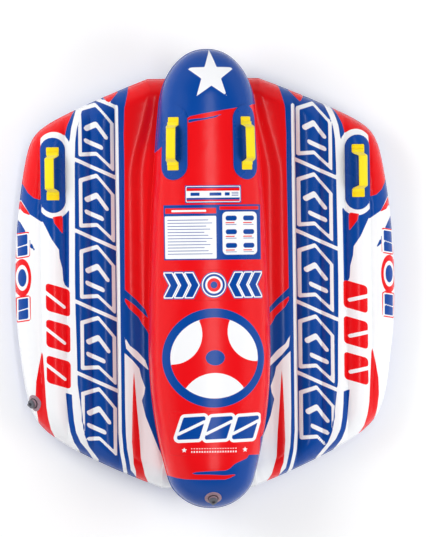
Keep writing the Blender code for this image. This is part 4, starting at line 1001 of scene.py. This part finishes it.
# ---------------------------------------------------------------- inflation valves
# A soft clear flange welded round the hole carries a moulded socket; a grey insert screws into it over
# a rubber flap, and a grey cap on a tether closes it. One on the deck's rear edge, one on the tail.
def moulded(name, colour, roughness, grain=260.0):
    """Moulded plastic or rubber: fine spark grain and faint colour patches."""
    made, tree, principled, place = new_material(name)
    link(tree, colour_of(tree, place, colour, 0.12), principled.inputs["Base Color"])
    fine = add_node(tree, "ShaderNodeTexNoise", {"Vector": place, "Scale": grain, "Detail": 3.0})
    bump = add_node(tree, "ShaderNodeBump", {"Height": fine.outputs["Fac"], "Strength": 0.25, "Distance": 0.0003})
    link(tree, bump.outputs["Normal"], principled.inputs["Normal"])
    rough = add_node(tree, "ShaderNodeMapRange",
                     {"Value": fine.outputs["Fac"], "To Min": roughness - 0.06, "To Max": roughness + 0.08})
    link(tree, rough.outputs["Result"], principled.inputs["Roughness"])
    return made


clear_vinyl = moulded("clear_vinyl", (0.38, 0.24, 0.29, 1), 0.26, 120.0)
grey_plastic = moulded("grey_plastic", (0.115, 0.120, 0.145, 1), 0.36)
# Black rubber for the flap; the same dark material also paints the shade ring round each valve socket.
black_rubber = moulded("black_rubber", (0.02, 0.02, 0.02, 1), 0.55)


def turned(name, origin, axes, profile, material, body, follow=None, surface=None, ribs=0, rib_depth=0.0):
    """A profile of (radius, height) carried round the frame's normal; where follow is given, each
    point is also raised by that share of the skin's own curve, and ribs wave the radius."""
    origin, axes = np.array(origin), np.array(axes)
    side, forward, normal = axes
    profile = np.array(profile)
    angle = np.linspace(0, 2 * math.pi, 97)
    wave = 1 + rib_depth * np.cos(ribs * angle)[None, :] * (profile[:, 0] > 0.0150)[:, None]
    a = profile[:, 0][:, None] * np.cos(angle)[None, :] * wave
    b = profile[:, 0][:, None] * np.sin(angle)[None, :] * wave
    height = np.broadcast_to(profile[:, 1][:, None], a.shape)
    if follow is not None:
        on_skin = over_skin(surface, origin, axes, a, b, 0.0)
        height = height + np.array(follow)[:, None] * ((on_skin - origin) * normal).sum(-1)
    points = origin + a[..., None] * side + b[..., None] * forward + height[..., None] * normal
    mesh = grid_mesh(name, points)
    face_outwards(mesh)
    return add_piece(name, mesh, material, body, crease=40)


def inflation_valve(name, surface, origin, axes):
    """One valve: ribbed flange and socket, a black ring of painted shade round the socket, insert with its lip,
    domed cap with a finger grip, tether.
    """
    base = [(0.0340, 0.0006), (0.0340, 0.0013), (0.0333, 0.0016), (0.0312, 0.0014), (0.0300, 0.0019),
            (0.0288, 0.0014), (0.0266, 0.0014), (0.0254, 0.0020), (0.0242, 0.0015), (0.0225, 0.0018),
            (0.0195, 0.0024), (0.0177, 0.0044), (0.0167, 0.0068), (0.0165, 0.0086), (0.0162, 0.0090),
            (0.0142, 0.0090), (0.0140, 0.0087), (0.0140, -0.0140), (0.0155, -0.0140), (0.0155, 0.0004),
            (0.0225, 0.0006), (0.0340, 0.0006)]
    follow = [1, 1, 1, 1, 1, 1, 1, 1, 1, 1, 0.75, 0.4, 0.1, 0, 0, 0, 0, 0, 0, 0.4, 1, 1]
    flange = turned(f"{name}_flange", origin, axes, base, clear_vinyl, "hull", follow, surface)
    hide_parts(f"{name}_base")
    # Black ring round the socket under the cap's rim: painted shade, a dark sheet that stands for the shadow round
    # the cap.
    painted_shade_ring = [(0.0182, 0.0050), (0.0188, 0.0056), (0.0206, 0.0052), (0.0214, 0.0040), (0.0214, 0.0032),
              (0.0200, 0.0034), (0.0182, 0.0050)]
    follow = [0.6, 0.6, 0.75, 0.85, 0.85, 0.7, 0.6]
    ring = turned(f"{name}_collar", origin, axes, painted_shade_ring, black_rubber, "hull", follow, surface)
    cap = [(0.0, 0.0108), (0.0070, 0.0108), (0.0078, 0.0112), (0.0082, 0.0196), (0.0090, 0.0201),
           (0.0128, 0.0203), (0.0154, 0.0199), (0.0168, 0.0190), (0.0174, 0.0176), (0.0175, 0.0122),
           (0.0171, 0.0118), (0.0095, 0.0118), (0.0087, 0.0100), (0.0, 0.0099)]
    lid = turned(f"{name}_lid", origin, axes, cap, grey_plastic, f"{name}_lid", ribs=36, rib_depth=0.018)
    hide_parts(f"{name}_cap")
    side, forward, normal = np.array(axes)
    a, b = round_oblong(0.0018, 0.0076, 0.0012, 4, 6)
    points = np.array(origin) + a[..., None] * side + b[..., None] * forward + 0.0168 * normal
    bar_mesh = grid_mesh(f"{name}_lid_bar", points)
    add_piece(f"{name}_lid_bar", bar_mesh, grey_plastic, f"{name}_lid", thick=0.0060)
    finish_node(f"{name}_insert", grey_plastic)
    finish_node(f"{name}_flap", black_rubber)
    finish_node(f"{name}_tether", grey_plastic)


inflation_valve("deck_valve", deck_surface, (-0.70337, -0.497, 0.13907),
                ((-0.54721, -0.17756, -0.81794), (0.30864, -0.95118, 0), (-0.77801, -0.25245, 0.5753)))
inflation_valve("tube_valve", tube_height, (0, -0.885, 0.3914),
                ((0, -0.66159, -0.74987), (1, 0, 0), (0, -0.74987, 0.66159)))


# ---------------------------------------------------------------- tow point
# Under the nose a black patch wraps the deck's front edge; a webbing loop sewn to it holds a steel pin,
# and a moulded link for the rope swings on the pin.
black_webbing, tree, principled, place = new_material("black_webbing")
both = crossed_waves(tree, place, (("X", 90.0, 0.5), ("Z", 90.0, 0.5)))
shade = add_node(tree, "ShaderNodeMapRange", {"Value": both.outputs["Value"], "To Min": 0.008, "To Max": 0.03})
link(tree, shade.outputs["Result"], principled.inputs["Base Color"])
bump = add_node(tree, "ShaderNodeBump", {"Height": both.outputs["Value"], "Strength": 0.5, "Distance": 0.0006})
link(tree, bump.outputs["Normal"], principled.inputs["Normal"])
principled.inputs["Roughness"].default_value = 0.7

steel, tree, principled, place = new_material("steel")
drawn = add_node(tree, "ShaderNodeMapping", {"Vector": place, "Scale": (20.0, 900.0, 900.0)})
lines = add_node(tree, "ShaderNodeTexNoise", {"Vector": drawn.outputs["Vector"], "Scale": 1.0, "Detail": 2.0})
rough = add_node(tree, "ShaderNodeMapRange", {"Value": lines.outputs["Fac"], "To Min": 0.18, "To Max": 0.38})
link(tree, rough.outputs["Result"], principled.inputs["Roughness"])
shade = add_node(tree, "ShaderNodeMapRange", {"Value": lines.outputs["Fac"], "To Min": 0.52, "To Max": 0.66})
link(tree, shade.outputs["Result"], principled.inputs["Base Color"])
principled.inputs["Metallic"].default_value = 1.0

finish_node("tow_patch", black_webbing)
finish_node("tow_strap", black_webbing)
finish_node("tow_pin", steel)
finish_node("tow_link", grey_plastic)
